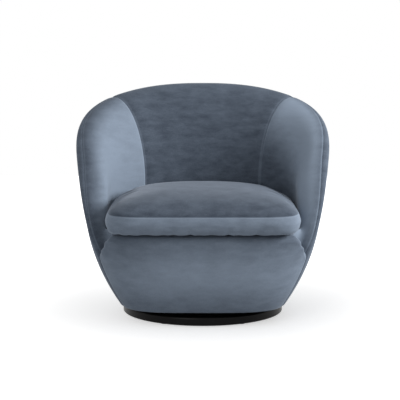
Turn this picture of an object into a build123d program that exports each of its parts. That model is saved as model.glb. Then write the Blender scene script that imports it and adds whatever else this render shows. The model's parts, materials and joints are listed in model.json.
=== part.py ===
"""Swivel tub armchair: an upholstered barrel seat that turns on a low round plinth.

Millimetres, +Z up.  The origin is on the floor at the swivel axis and the chair faces -Y.
Most upholstery is lofted from radial sections: half-planes through the swivel axis, each at an
angle from the back of the chair (0 at the back, 90 at the side, 180 at the front).
"""

import math
import os

from build123d import *

# Plinth and floor
GLIDE_HEIGHT = 3.0
GLIDE_RADIUS = 12.0
GLIDE_COUNT = 6
GLIDE_INSET = 22.0
PLINTH_RADIUS = 261.0
PLINTH_THICKNESS = 29.0
PLINTH_ROUND = 9.0
PLINTH_FOOT_CHAMFER = 2.0

# Swivel bearing
SWIVEL_HEIGHT = 17.0
SWIVEL_PLATE = 3.0
SWIVEL_RADIUS = 150.0
RACE_RADIUS = 125.0
RACE_WIDTH = 26.0
BALL_RADIUS = 4.0
BALL_COUNT = 16
BALL_CLEARANCE = 0.05
CAGE_THICKNESS = 1.0
CAGE_WIDTH = 16.0
CAGE_CLEARANCE = 0.4
STUD_RADIUS = 8.0
STUD_HEAD_RADIUS = 17.0
STUD_HEAD_HEIGHT = 6.0
STUD_POCKET_CLEARANCE = 2.0
BUSH_WALL = 2.9
BUSH_FLANGE = 1.5
BUSH_FLANGE_RADIUS = 20.0
RUNNING_CLEARANCE = 0.05
HUB_WALL = 11.0
HUB_RISE = 4.0
HUB_DROP = 7.0
WASHER_RADIUS = 22.0
WASHER_THICKNESS = 2.0
NUT_FLATS = 24.0
NUT_HEIGHT = 8.0
STUD_PROUD = 3.0
SCREW_COUNT = 6
SCREW_RADIUS = 2.4
SCREW_HEAD_RADIUS = 5.0
SCREW_HEAD_HEIGHT = 2.5
SCREW_CIRCLE_RADIUS = 95.0
SCREW_LENGTH = 20.0
BOLT_COUNT = 6
BOLT_RADIUS = 3.0
BOLT_HEAD_RADIUS = 5.5
BOLT_HEAD_HEIGHT = 2.8
BOLT_CIRCLE_RADIUS = 75.0
TEE_NUT_RADIUS = 9.5
TEE_NUT_FLANGE = 1.5
TEE_NUT_BARREL_RADIUS = 4.2
TEE_NUT_BARREL_LENGTH = 10.0
HOLE_CLEARANCE = 0.3

# Outer form of the upholstered body
OVERALL_HEIGHT = 733.0
KNEE_Z = 280.0
KNEE_HALF_WIDTH = 366.5
KNEE_BACK = 342.0
KNEE_FRONT = 350.0
SIDE_FLARE = 0.20
BACK_FLARE = 0.086
FRONT_FLARE = 0.10
TUCK = 53.0
BACK_SQUARENESS = 2.45
FRONT_SQUARENESS_LOW = 3.7
FRONT_SQUARENESS_HIGH = 3.8
HEM_RADIUS = 13.0
FACE_TOP_RUN = 30.0
HEM_RETURN = 24.0

# Rim: it falls from the crest of the back to a point at each front corner
RIM_END_ANGLE = 126.0
RIM_END_Z = 240.0
RIM_POWER = 2.55
ROLL_RADIUS = 24.0
RIM_SEAM_ANGLE = 78.0
RIM_POINT_SEAM_ANGLE = 35.0
RIM_SEAM_FALL = 35.0

# Inner form
PANEL_SEAM_ANGLE = 48.0
SEAT_HALF_WIDTH = 305.0
SEAT_BACK = 211.0
SEAT_FRONT = 400.0
SEAT_BACK_SQUARENESS = 2.2
SEAT_FRONT_SQUARENESS = 5.0
INNER_UPRIGHT_Z = 405.0
INNER_DROP = 60.0
INNER_LEAST_DROP = 25.0
INNER_SKIRT = 12.0
LEAST_WALL = 25.0

# Layers
FOAM_END_ANGLE = 113.0
FOAM_LIP_ANGLE = 8.0
COVER = 2.4
LAYER_GAP = 0.6
FOAM_GAP = 0.9
WADDING = 4.0
APRON_FOAM = 12.0
APRON_FOAM_GAP = 1.8
APRON_BOARD = 5.0
APRON_BOARD_DROP = 8.0
APRON_ROLL = 22.0
APRON_RETURN = 26.0
APRON_HOOK = 14.0
APRON_STEP = 2.5
APRON_RISE_ANGLE = 12.0
SEAM_GAP = 0.8

# Timber frame
BOARD_THICKNESS = 18.0
BOARD_EDGE = 9.0
BOARD_HOLE_RADIUS = 40.0
RIB_THICKNESS = 18.0
RIB_DEPTH = 38.0
RIB_CLEARANCE = 4.0
FORMER_CLEARANCE = 6.0
FOAM_BACK_GAP = 4.0
RIB_SHELF = 100.0
BACK_RIB_ANGLE = 36.0
SIDE_RIB_ANGLE = 72.0
ARM_RIB_ANGLE = 100.0
FRONT_FORMER_ANGLE = 148.0
RAIL_HEIGHT = 30.0
RAIL_WIDTH = 24.0
RAIL_COVER = 22.0
RAIL_END_ANGLE = 108.0
SEAT_RING_TOP_Z = 282.0
SEAT_RING_THICKNESS = 20.0
SEAT_RING_EDGE = 68.0
SEAT_RING_WIDTH = 50.0

# Seat suspension, deck and cushion
STRAP_WIDTH = 50.0
STRAP_THICKNESS = 1.6
STRAP_PITCH = 84.0
STRAP_LAP = 25.0
LONG_STRAPS = 5
CROSS_STRAPS = 4
CROSS_STRAP_CENTRE_Y = -24.0
DECK_PAD = 13.5
DECK_COVER = 1.6
DECK_EDGE_GAP = 2.8
DECK_FRONT_GAP = 5.0
CUSHION_FRONT = 378.0
CUSHION_GAP = 3.0
CUSHION_FRONT_SQUARENESS = 9.0
CUSHION_BORDER_HEIGHT = 57.0
CUSHION_CROWN = 60.0
CUSHION_SEAM_DRAW = 4.0
CUSHION_FOOT_DRAW = 20.0
CUSHION_FOOT_HEIGHT = 8.0
CUSHION_COVER = 2.0
CUSHION_LIFT_GAP = 0.4
DUST_COVER = 1.0
DUST_COVER_EDGE = 26.0
DUST_COVER_HOLE_GAP = 8.0

# Heights that follow from the stack of parts, from the floor up
PLINTH_TOP_Z = GLIDE_HEIGHT + PLINTH_THICKNESS
BOARD_BOTTOM_Z = PLINTH_TOP_Z + SWIVEL_HEIGHT
BOARD_TOP_Z = BOARD_BOTTOM_Z + BOARD_THICKNESS
BODY_BOTTOM_Z = BOARD_BOTTOM_Z - LAYER_GAP - COVER
SEAT_RING_BOTTOM_Z = SEAT_RING_TOP_Z - SEAT_RING_THICKNESS
STRAP_RISE = STRAP_THICKNESS / 2 + LAYER_GAP / 2
WEBBING_MID_Z = SEAT_RING_TOP_Z + LAYER_GAP + STRAP_THICKNESS / 2 + STRAP_RISE
WEBBING_TOP_Z = WEBBING_MID_Z + STRAP_RISE + STRAP_THICKNESS / 2
DECK_PAD_Z = WEBBING_TOP_Z + LAYER_GAP
DECK_COVER_Z = DECK_PAD_Z + DECK_PAD + LAYER_GAP
DECK_TOP_Z = DECK_COVER_Z + DECK_COVER
APRON_TOP_Z = DECK_TOP_Z - APRON_STEP
CUSHION_BOTTOM_Z = DECK_TOP_Z + CUSHION_LIFT_GAP
INSIDE_BOTTOM_Z = WEBBING_TOP_Z + LAYER_GAP


# Form of the chair

def fold(angle):
    """Angle from the back, 0 to 180, the same on both sides."""
    return abs((angle + 180) % 360 - 180)


def hoop(angle, half_width, back, front, back_squareness, front_squareness):
    """Radius of a rounded plan outline at an angle from the back, in degrees."""
    side = abs(math.sin(math.radians(angle)))
    along = math.cos(math.radians(angle))
    depth, power = (back, back_squareness) if along >= 0 else (front, front_squareness)
    return ((side / half_width) ** power + (abs(along) / depth) ** power) ** (-1 / power)


def body_radius(angle, z):
    """Outer radius of the body: a straight flare above the knee, tucked in below it."""
    below = max(0.0, (KNEE_Z - z) / (KNEE_Z - BODY_BOTTOM_Z))
    rise = z - KNEE_Z
    drawn_in = TUCK * below**2
    squareness = FRONT_SQUARENESS_HIGH + (FRONT_SQUARENESS_LOW - FRONT_SQUARENESS_HIGH) * min(1.0, below)
    return hoop(
        angle,
        KNEE_HALF_WIDTH + SIDE_FLARE * rise - drawn_in,
        KNEE_BACK + BACK_FLARE * rise - drawn_in,
        KNEE_FRONT + FRONT_FLARE * rise - drawn_in,
        BACK_SQUARENESS,
        squareness,
    )


def body_slope(angle, z):
    """How fast the outer radius grows with height."""
    return body_radius(angle, z + 0.5) - body_radius(angle, z - 0.5)


def body_inset(angle, z, depth):
    """Radius of a layer that lies the given depth under the outer face."""
    return body_radius(angle, z) - depth * math.hypot(1.0, body_slope(angle, z))


def rim_z(angle):
    """Height of the rim's crest."""
    share = min(1.0, fold(angle) / RIM_END_ANGLE)
    return RIM_END_Z + (OVERALL_HEIGHT - RIM_END_Z) * (1 - share**RIM_POWER)


def rim_seam(angle):
    """Where the seam lies on the rim's roll: near the crest, falling to the outer face at the rim's point."""
    share = 1 - (RIM_END_ANGLE - fold(angle)) / RIM_SEAM_FALL
    share = min(1.0, max(0.0, share))
    return RIM_SEAM_ANGLE + (RIM_POINT_SEAM_ANGLE - RIM_SEAM_ANGLE) * share * share * (3 - 2 * share)


def apron_z(angle):
    """Height of the front apron's top: the deck, falling to the rim's point at each corner."""
    share = (fold(angle) - RIM_END_ANGLE) / APRON_RISE_ANGLE
    share = min(1.0, max(0.0, share))
    return RIM_END_Z + (APRON_TOP_Z - RIM_END_Z) * share * share * (3 - 2 * share)


def roll_centre(angle, top, radius):
    """Centre of the roll over a top edge, and the angle at which the outer face meets it."""
    lean = math.atan(body_slope(angle, top - radius))
    z = top - radius
    contact_z = z - radius * math.sin(lean)
    return body_radius(angle, contact_z) - radius * math.cos(lean), z, math.degrees(lean)


def seat_radius(angle):
    """Radius of the inner faces at seat height."""
    inner = hoop(angle, SEAT_HALF_WIDTH, SEAT_BACK, SEAT_FRONT, SEAT_BACK_SQUARENESS, SEAT_FRONT_SQUARENESS)
    crest = roll_centre(angle, rim_z(angle), ROLL_RADIUS)[0]
    return min(inner, crest - LEAST_WALL)


# Sections: a path is a list of (start, mid or None, end) in radius and height

def round_point(centre, radius, degrees):
    """A point on a circle in a radial section."""
    turn = math.radians(degrees)
    return centre[0] + radius * math.cos(turn), centre[1] + radius * math.sin(turn)


def turn_path(centre, radius, start, end):
    """An arc of a circle in a radial section."""
    points = [round_point(centre, radius, a) for a in (start, (start + end) / 2, end)]
    return [tuple(points)]


def straight(*points):
    """Straight runs through the points."""
    return [(a, None, b) for a, b in zip(points, points[1:])]


def reversed_path(path):
    return [(end, mid, start) for start, mid, end in reversed(path)]


def closed(*paths):
    """Paths joined end to end by straight runs and closed."""
    joined = []
    for path in paths:
        if joined and math.dist(joined[-1][2], path[0][0]) > 1e-6:
            joined += straight(joined[-1][2], path[0][0])
        joined += path
    return joined + straight(joined[-1][2], joined[0][0])


def band(make_path, angle, near, far):
    """The closed strip between two depths of the same path."""
    return closed(make_path(angle, near), reversed_path(make_path(angle, far)))


def face_path(angle, depth, low, high):
    """The outer face between two heights, at a depth under the surface: an arc, then a straight run."""
    split = min(KNEE_Z, high - FACE_TOP_RUN)
    middle = (low + split) / 2
    low_point, mid_point, split_point, high_point = (
        (body_inset(angle, z, depth), z) for z in (low, middle, split, high)
    )
    return [(low_point, mid_point, split_point)] + straight(split_point, high_point)


def hem_path(angle, depth):
    """The turned-under hem: a return below the board, then a round up to the outer face."""
    lean = math.atan(body_slope(angle, BODY_BOTTOM_Z + HEM_RADIUS))
    contact_z = BODY_BOTTOM_Z + HEM_RADIUS * (1 - math.sin(lean))
    centre = (body_radius(angle, contact_z) - HEM_RADIUS * math.cos(lean), BODY_BOTTOM_Z + HEM_RADIUS)
    start = (centre[0], BODY_BOTTOM_Z + depth)
    edge = (centre[0] - HEM_RETURN, BODY_BOTTOM_Z + depth)
    return straight(edge, start) + turn_path(centre, HEM_RADIUS - depth, -90, -math.degrees(lean))


def outside_path(angle, depth):
    """Outside cover: hem, outer face, and the roll up to the rim seam."""
    radius, z, lean = roll_centre(angle, rim_z(angle), ROLL_RADIUS)
    hem = hem_path(angle, depth)
    seam = rim_seam(angle) - math.degrees(SEAM_GAP / ROLL_RADIUS)
    roll = turn_path((radius, z), ROLL_RADIUS - depth, -lean, seam)
    face = face_path(angle, depth, hem[-1][2][1], roll[0][0][1])
    face[0] = (hem[-1][2], face[0][1], face[0][2])
    face[-1] = (face[-1][0], face[-1][1], roll[0][0])
    return hem + face + roll


def inside_path(angle, depth, bottom):
    """Inside cover: from the rim seam over the crest and down the padded inner face."""
    top = rim_z(angle)
    radius, z, _ = roll_centre(angle, top, ROLL_RADIUS)
    deck_level = min(INSIDE_BOTTOM_Z + INNER_SKIRT, top - INNER_LEAST_DROP)
    upright = min(INNER_UPRIGHT_Z, max(top - INNER_DROP, deck_level))
    across = radius - seat_radius(angle) - depth
    down = top - upright - depth

    def pad(degrees):
        turn = math.radians(degrees)
        return radius - across * math.sin(turn), upright + down * math.cos(turn)

    roll = turn_path((radius, z), ROLL_RADIUS - depth, rim_seam(angle), 90)
    upper = [(pad(0), pad(22.5), pad(45))]
    lower = [(pad(45), pad(67.5), pad(90))]
    foot = (pad(90)[0], min(bottom, upright - INNER_SKIRT))
    return roll + upper + lower + straight(pad(90), foot)


def apron_path(angle, depth):
    """Front apron: hem, outer face, and the roll back over the seat's front edge."""
    top = apron_z(angle)
    radius, z, lean = roll_centre(angle, top, APRON_ROLL)
    hem = hem_path(angle, depth)
    roll = turn_path((radius, z), APRON_ROLL - depth, -lean, 90)
    face = face_path(angle, depth, hem[-1][2][1], roll[0][0][1])
    face[0] = (hem[-1][2], face[0][1], face[0][2])
    face[-1] = (face[-1][0], face[-1][1], roll[0][0])
    return hem + face + roll + straight(roll[-1][2], (radius - APRON_RETURN, top - depth))


# Solids

def place(angle, point):
    """A section's point in the chair's frame."""
    turn = math.radians(angle)
    return Vector(point[0] * math.sin(turn), point[0] * math.cos(turn), point[1])


def section(angle, path):
    """A closed wire in the radial plane at an angle."""
    edges = []
    for start, mid, end in path:
        ends = place(angle, start), place(angle, end)
        if mid is None:
            edges.append(Edge.make_line(*ends))
        else:
            edges.append(Edge.make_three_point_arc(ends[0], place(angle, mid), ends[1]))
    return Wire(edges)


def sweep_round(angles, make_path):
    """A solid lofted through radial sections."""
    return Solid.make_loft([section(a, make_path(a)) for a in angles])


def spread(start, end, count):
    """Evenly spaced angles, both ends included."""
    return [start + (end - start) * i / (count - 1) for i in range(count)]


def seam_turn():
    """Half the gap at a panel seam, as an angle."""
    return math.degrees(SEAM_GAP / 2 / KNEE_HALF_WIDTH)


def back_angles():
    """Section angles of the back panels."""
    return spread(seam_turn() - PANEL_SEAM_ANGLE, PANEL_SEAM_ANGLE - seam_turn(), 9)


def arm_angles():
    """Section angles of the arm panels: evenly to the end of the padding, then on to the rim's point."""
    return spread(PANEL_SEAM_ANGLE + seam_turn(), FOAM_END_ANGLE, 8) + spread(
        FOAM_END_ANGLE, RIM_END_ANGLE - seam_turn(), 4
    )[1:]


def apron_angles():
    """Section angles of the apron: close together where its top rises at each corner."""
    start = RIM_END_ANGLE + seam_turn()
    half = [start + (180.0 - start) * (i / 10) ** 1.7 for i in range(11)]
    return half + [360 - a for a in reversed(half[:-1])]


def plate(angle, path, thickness):
    """A flat plate in a radial plane, centred on it."""
    return extrude(Face(section(angle, path)), amount=thickness / 2, both=True)


def plan_wire(radius_at, z, half_angles):
    """A closed plan outline, symmetric left to right, from arcs between the given angles."""
    right = list(half_angles)
    angles = [-a for a in reversed(right)] + right
    edges = []
    for start, end in zip(angles, angles[1:] + [angles[0] + 360]):
        trio = [place(a, (radius_at(a), z)) for a in (start, (start + end) / 2, end)]
        edges.append(Edge.make_three_point_arc(*trio))
    return Wire(edges)


def plan_slab(radius_at, low, high, half_angles):
    """A flat slab with a plan outline."""
    face = Face(plan_wire(radius_at, low, half_angles))
    return extrude(face, amount=high - low, dir=(0, 0, 1))


def tube(outer, inner, low, high):
    """A round tube, or a rod where inner is 0."""
    body = Pos(0, 0, low) * Cylinder(outer, high - low, align=(Align.CENTER, Align.CENTER, Align.MIN))
    if inner:
        body -= Pos(0, 0, low) * Cylinder(inner, high - low, align=(Align.CENTER, Align.CENTER, Align.MIN))
    return body


def around(shape, radius, count, start=0.0):
    """Copies of a shape spaced evenly on a circle about the swivel axis."""
    return [Rot(0, 0, start + 360 * i / count) * Pos(radius, 0, 0) * shape for i in range(count)]


def without(shape, cutters):
    for cutter in cutters:
        shape -= cutter
    return shape


PLAN_ANGLES = (24, 48, 68, 84, 98, 110, 118, 124, 130, 138, 148, 162)
CUSHION_ANGLES = (26, 52, 76, 100, 122, 134, 145, 158)
PARTS = {}


# Plinth

def build_plinth():
    """Round plinth with a rounded top edge, on small glides."""
    foot = PLINTH_RADIUS - PLINTH_FOOT_CHAMFER
    low, high = GLIDE_HEIGHT, PLINTH_TOP_Z
    outline = [
        Edge.make_line((0, 0, low), (foot, 0, low)),
        Edge.make_line((foot, 0, low), (PLINTH_RADIUS, 0, low + PLINTH_FOOT_CHAMFER)),
        Edge.make_line(
            (PLINTH_RADIUS, 0, low + PLINTH_FOOT_CHAMFER),
            (PLINTH_RADIUS, 0, high - PLINTH_ROUND),
        ),
        Edge.make_three_point_arc(
            (PLINTH_RADIUS, 0, high - PLINTH_ROUND),
            (
                PLINTH_RADIUS - PLINTH_ROUND * (1 - math.sqrt(0.5)),
                0,
                high - PLINTH_ROUND * (1 - math.sqrt(0.5)),
            ),
            (PLINTH_RADIUS - PLINTH_ROUND, 0, high),
        ),
        Edge.make_line((PLINTH_RADIUS - PLINTH_ROUND, 0, high), (0, 0, high)),
        Edge.make_line((0, 0, high), (0, 0, low)),
    ]
    disc = revolve(Face(Wire(outline)), axis=Axis.Z)
    pocket = tube(
        STUD_HEAD_RADIUS + STUD_POCKET_CLEARANCE, 0, high - STUD_HEAD_HEIGHT - STUD_POCKET_CLEARANCE, high
    )
    pilot = tube(SCREW_RADIUS + HOLE_CLEARANCE / 2, 0, high - SCREW_LENGTH, high)
    PARTS["plinth"] = without(disc, [pocket] + around(pilot, SCREW_CIRCLE_RADIUS, SCREW_COUNT))
    glide = tube(GLIDE_RADIUS, 0, 0, GLIDE_HEIGHT)
    PARTS["floor_glides"] = Compound(around(glide, PLINTH_RADIUS - GLIDE_INSET, GLIDE_COUNT))


# Swivel bearing

def build_swivel():
    """Two grooved plates on a ring of caged balls, held together by a central stud."""
    low, high = PLINTH_TOP_Z, BOARD_BOTTOM_Z
    ball_z = (low + high) / 2
    half_gap = CAGE_THICKNESS / 2 + CAGE_CLEARANCE
    inner, outer = RACE_RADIUS - RACE_WIDTH / 2, RACE_RADIUS + RACE_WIDTH / 2
    groove = Pos(0, 0, ball_z) * Torus(RACE_RADIUS, BALL_RADIUS + BALL_CLEARANCE)
    stud_hole = STUD_RADIUS + HOLE_CLEARANCE
    bush_radius = STUD_RADIUS + RUNNING_CLEARANCE + BUSH_WALL
    hub_bore = bush_radius + RUNNING_CLEARANCE
    hub_low, hub_high = high - SWIVEL_PLATE - HUB_DROP, high + HUB_RISE

    screw_hole = tube(SCREW_RADIUS + HOLE_CLEARANCE, 0, low, low + SWIVEL_PLATE)
    lower = tube(SWIVEL_RADIUS, stud_hole, low, low + SWIVEL_PLATE)
    lower += tube(outer, inner, low + SWIVEL_PLATE, ball_z - half_gap)
    PARTS["swivel_lower_plate"] = without(
        lower - groove, around(screw_hole, SCREW_CIRCLE_RADIUS, SCREW_COUNT)
    )

    bolt_hole = tube(BOLT_RADIUS + HOLE_CLEARANCE, 0, high - SWIVEL_PLATE, high)
    upper = tube(SWIVEL_RADIUS, hub_bore, high - SWIVEL_PLATE, high)
    upper += tube(hub_bore + HUB_WALL, hub_bore, hub_low, hub_high)
    upper += tube(outer, inner, ball_z + half_gap, high - SWIVEL_PLATE)
    PARTS["swivel_upper_plate"] = without(
        upper - groove, around(bolt_hole, BOLT_CIRCLE_RADIUS, BOLT_COUNT)
    )

    ball = Pos(0, 0, ball_z) * Sphere(BALL_RADIUS)
    PARTS["swivel_balls"] = Compound(around(ball, RACE_RADIUS, BALL_COUNT))
    half = CAGE_THICKNESS / 2
    window = tube(BALL_RADIUS + HOLE_CLEARANCE, 0, ball_z - half, ball_z + half)
    cage = tube(RACE_RADIUS + CAGE_WIDTH / 2, RACE_RADIUS - CAGE_WIDTH / 2, ball_z - half, ball_z + half)
    PARTS["ball_cage"] = without(cage, around(window, RACE_RADIUS, BALL_COUNT))

    flange_z = hub_high + BUSH_FLANGE
    bush_bore = STUD_RADIUS + RUNNING_CLEARANCE
    PARTS["pivot_bush"] = tube(bush_radius, bush_bore, hub_low, hub_high) + tube(
        BUSH_FLANGE_RADIUS, bush_bore, hub_high, flange_z
    )
    washer_z = flange_z + LAYER_GAP
    nut_z = washer_z + WASHER_THICKNESS
    stud_top = nut_z + NUT_HEIGHT + STUD_PROUD
    PARTS["pivot_stud"] = tube(STUD_HEAD_RADIUS, 0, low - STUD_HEAD_HEIGHT, low) + tube(
        STUD_RADIUS, 0, low, stud_top
    )
    PARTS["pivot_washer"] = tube(WASHER_RADIUS, STUD_RADIUS + HOLE_CLEARANCE, washer_z, nut_z)
    hexagon = extrude(
        Pos(0, 0, nut_z) * RegularPolygon(NUT_FLATS / 2, 6, major_radius=False), amount=NUT_HEIGHT
    )
    PARTS["pivot_nut"] = hexagon - tube(STUD_RADIUS + RUNNING_CLEARANCE, 0, nut_z, nut_z + NUT_HEIGHT)

    head_z = low + SWIVEL_PLATE
    screw = tube(SCREW_RADIUS, 0, low + SWIVEL_PLATE - SCREW_LENGTH, head_z) + tube(
        SCREW_HEAD_RADIUS, 0, head_z, head_z + SCREW_HEAD_HEIGHT
    )
    PARTS["plinth_screws"] = Compound(around(screw, SCREW_CIRCLE_RADIUS, SCREW_COUNT))
    under = high - SWIVEL_PLATE
    bolt = tube(BOLT_HEAD_RADIUS, 0, under - BOLT_HEAD_HEIGHT, under) + tube(
        BOLT_RADIUS, 0, under, BOARD_TOP_Z
    )
    PARTS["swivel_bolts"] = Compound(around(bolt, BOLT_CIRCLE_RADIUS, BOLT_COUNT))
    bore = BOLT_RADIUS + RUNNING_CLEARANCE
    tee = tube(TEE_NUT_BARREL_RADIUS, bore, BOARD_TOP_Z - TEE_NUT_BARREL_LENGTH, BOARD_TOP_Z) + tube(
        TEE_NUT_RADIUS, bore, BOARD_TOP_Z, BOARD_TOP_Z + TEE_NUT_FLANGE
    )
    PARTS["tee_nuts"] = Compound(around(tee, BOLT_CIRCLE_RADIUS, BOLT_COUNT))


# Timber frame

def rail_corners(angle, growth=0.0):
    """The rim rail's section: under the roll, leaning with the outer face."""
    top = rim_z(angle) - RAIL_COVER + growth
    low = rim_z(angle) - RAIL_COVER - RAIL_HEIGHT - growth
    depth = COVER + LAYER_GAP + WADDING + LAYER_GAP + RIB_CLEARANCE / 2
    outer_low, outer_top = body_inset(angle, low, depth), body_inset(angle, top, depth)
    return [
        (outer_low + growth, low),
        (outer_top + growth, top),
        (outer_top - RAIL_WIDTH - growth, top),
        (outer_low - RAIL_WIDTH - growth, low),
    ]


def rib_path(angle, upper_z):
    """A rib: a deep foot under the seat ring and a slim upper part that follows the outer face."""
    depth = COVER + LAYER_GAP + WADDING + RIB_CLEARANCE
    outer = face_path(angle, depth, BOARD_TOP_Z, upper_z)
    shelf = body_inset(angle, SEAT_RING_BOTTOM_Z, depth) - RIB_SHELF
    step = body_inset(angle, SEAT_RING_BOTTOM_Z, depth) - RIB_DEPTH
    inner_top = (body_inset(angle, upper_z, depth) - RIB_DEPTH, upper_z)
    inner = straight(
        inner_top, (step, SEAT_RING_BOTTOM_Z), (shelf, SEAT_RING_BOTTOM_Z), (shelf, BOARD_TOP_Z)
    )
    return closed(outer, inner)


def former_path(angle):
    """A front former: it carries the seat ring behind the apron board."""
    depth = COVER + APRON_FOAM + APRON_BOARD + 3 * LAYER_GAP + FORMER_CLEARANCE
    outer = face_path(angle, depth, BOARD_TOP_Z, SEAT_RING_BOTTOM_Z)
    shelf = body_inset(angle, SEAT_RING_BOTTOM_Z, depth) - RIB_SHELF
    return closed(outer, straight((shelf, SEAT_RING_BOTTOM_Z), (shelf, BOARD_TOP_Z)))


def build_frame():
    """Bottom board, ribs, front formers, rim rail and seat ring."""
    board = plan_slab(
        lambda a: body_radius(a, BOARD_BOTTOM_Z) - BOARD_EDGE, BOARD_BOTTOM_Z, BOARD_TOP_Z, PLAN_ANGLES
    )
    barrel = tube(TEE_NUT_BARREL_RADIUS + HOLE_CLEARANCE, 0, BOARD_BOTTOM_Z, BOARD_TOP_Z)
    centre_hole = tube(BOARD_HOLE_RADIUS, 0, BOARD_BOTTOM_Z, BOARD_TOP_Z)
    PARTS["bottom_board"] = without(board, [centre_hole] + around(barrel, BOLT_CIRCLE_RADIUS, BOLT_COUNT))

    arm_part = [a for a in arm_angles() if a < RAIL_END_ANGLE] + [RAIL_END_ANGLE]
    rail_angles = [-a for a in reversed(arm_part)] + back_angles()[1:-1] + arm_part
    PARTS["rim_rail"] = sweep_round(
        rail_angles, lambda a: closed(straight(*rail_corners(a)))
    )

    def rail_space(angle):
        low_out, _, _, low_in = rail_corners(angle, LAYER_GAP)
        inner, outer = low_in[0] - RIB_DEPTH, low_out[0] + ROLL_RADIUS
        above = low_out[1] + RAIL_HEIGHT + RAIL_COVER
        low = low_out[1]
        return closed(straight((inner, low), (outer, low), (outer, above), (inner, above)))

    clearing = sweep_round(rail_angles, rail_space)
    ribs = {
        "back_rib": 0.0,
        "shoulder_rib": BACK_RIB_ANGLE,
        "side_rib": SIDE_RIB_ANGLE,
        "arm_rib": ARM_RIB_ANGLE,
    }
    for name, angle in ribs.items():
        rib = plate(angle, rib_path(angle, rim_z(angle) - RAIL_COVER), RIB_THICKNESS) - clearing
        add_pair(name, rib, angle)
    formers = {"front_former": 180.0, "corner_former": FRONT_FORMER_ANGLE}
    for name, angle in formers.items():
        add_pair(name, plate(angle, former_path(angle), RIB_THICKNESS), angle)

    ring = plan_slab(ring_outer, SEAT_RING_BOTTOM_Z, SEAT_RING_TOP_Z, PLAN_ANGLES)
    PARTS["seat_ring"] = ring - plan_slab(ring_inner, SEAT_RING_BOTTOM_Z, SEAT_RING_TOP_Z, PLAN_ANGLES)


def add_pair(name, shape, angle=90.0):
    """Stores a right-hand piece and its mirror image, or one piece on the centre line."""
    if math.sin(math.radians(angle)) < 1e-9:
        PARTS[name] = shape
        return
    PARTS[name + "_right"] = shape
    PARTS[name + "_left"] = mirror(shape, about=Plane.YZ)


# Seat suspension and deck

def ring_outer(angle):
    return body_radius(angle, SEAT_RING_TOP_Z) - SEAT_RING_EDGE


def ring_inner(angle):
    return ring_outer(angle) - SEAT_RING_WIDTH


def run_to_edge(x, y, step_x, step_y):
    """Distance from a point to the edge of the seat ring's opening, in a direction."""
    low, high = 0.0, 2 * KNEE_HALF_WIDTH
    for _ in range(40):
        middle = (low + high) / 2
        at_x, at_y = x + step_x * middle, y + step_y * middle
        inside = math.hypot(at_x, at_y) < ring_inner(math.degrees(math.atan2(at_x, at_y)))
        low, high = (middle, high) if inside else (low, middle)
    return low


def strap_profile(start, end, crossings):
    """Side view of a strap as it passes over and under the ones it crosses."""
    flat = STRAP_WIDTH / 2 + STRAP_THICKNESS
    knots = [(start, -STRAP_RISE)]
    for centre, side in sorted(crossings):
        knots += [(centre - flat, side * STRAP_RISE), (centre + flat, side * STRAP_RISE)]
    knots.append((end, -STRAP_RISE))
    half = STRAP_THICKNESS / 2
    top = [(s, WEBBING_MID_Z + rise + half) for s, rise in knots]
    under = [(s, WEBBING_MID_Z + rise - half) for s, rise in reversed(knots)]
    return top + under


def build_webbing():
    """Straps woven over and under each other across the seat ring's opening."""
    xs = [STRAP_PITCH * (i - (LONG_STRAPS - 1) / 2) for i in range(LONG_STRAPS)]
    ys = [CROSS_STRAP_CENTRE_Y + STRAP_PITCH * (j - (CROSS_STRAPS - 1) / 2) for j in range(CROSS_STRAPS)]
    half = STRAP_WIDTH / 2
    long_straps, cross_straps = [], []
    for i, x in enumerate(xs):
        back = max(run_to_edge(x + side, CROSS_STRAP_CENTRE_Y, 0, 1) for side in (-half, half))
        front = max(run_to_edge(x + side, CROSS_STRAP_CENTRE_Y, 0, -1) for side in (-half, half))
        crossings = [(y, 1 if (i + j) % 2 else -1) for j, y in enumerate(ys)]
        ends = CROSS_STRAP_CENTRE_Y - front - STRAP_LAP, CROSS_STRAP_CENTRE_Y + back + STRAP_LAP
        outline = [Vector(x - half, s, z) for s, z in strap_profile(*ends, crossings)]
        strip = Face(Wire.make_polygon(outline, close=True))
        long_straps.append(extrude(strip, amount=STRAP_WIDTH, dir=(1, 0, 0)))
    for j, y in enumerate(ys):
        reach = max(run_to_edge(0, y + side, 1, 0) for side in (-half, half)) + STRAP_LAP
        crossings = [(x, -1 if (i + j) % 2 else 1) for i, x in enumerate(xs)]
        outline = [Vector(s, y - half, z) for s, z in strap_profile(-reach, reach, crossings)]
        strip = Face(Wire.make_polygon(outline, close=True))
        cross_straps.append(extrude(strip, amount=STRAP_WIDTH, dir=(0, 1, 0)))
    PARTS["webbing_long"] = Compound(long_straps)
    PARTS["webbing_cross"] = Compound(cross_straps)


def deck_radius(angle):
    """The deck fills the seat inside the padded walls and behind the apron's return."""
    inner = hoop(angle, SEAT_HALF_WIDTH, SEAT_BACK, SEAT_FRONT, SEAT_BACK_SQUARENESS, SEAT_FRONT_SQUARENESS)
    behind_apron = body_radius(angle, APRON_TOP_Z - APRON_ROLL) - APRON_ROLL - APRON_RETURN
    limit = min(inner, behind_apron - DECK_FRONT_GAP)
    if fold(angle) <= RIM_END_ANGLE:
        limit = min(limit, seat_radius(angle))
    return limit - DECK_EDGE_GAP


def build_deck():
    """Thin pad over the webbing and the cover that closes the seat under the loose cushion."""
    PARTS["deck_pad"] = plan_slab(deck_radius, DECK_PAD_Z, DECK_PAD_Z + DECK_PAD, PLAN_ANGLES)
    PARTS["deck_cover"] = plan_slab(deck_radius, DECK_COVER_Z, DECK_TOP_Z, PLAN_ANGLES)


# Padding and covers

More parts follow.
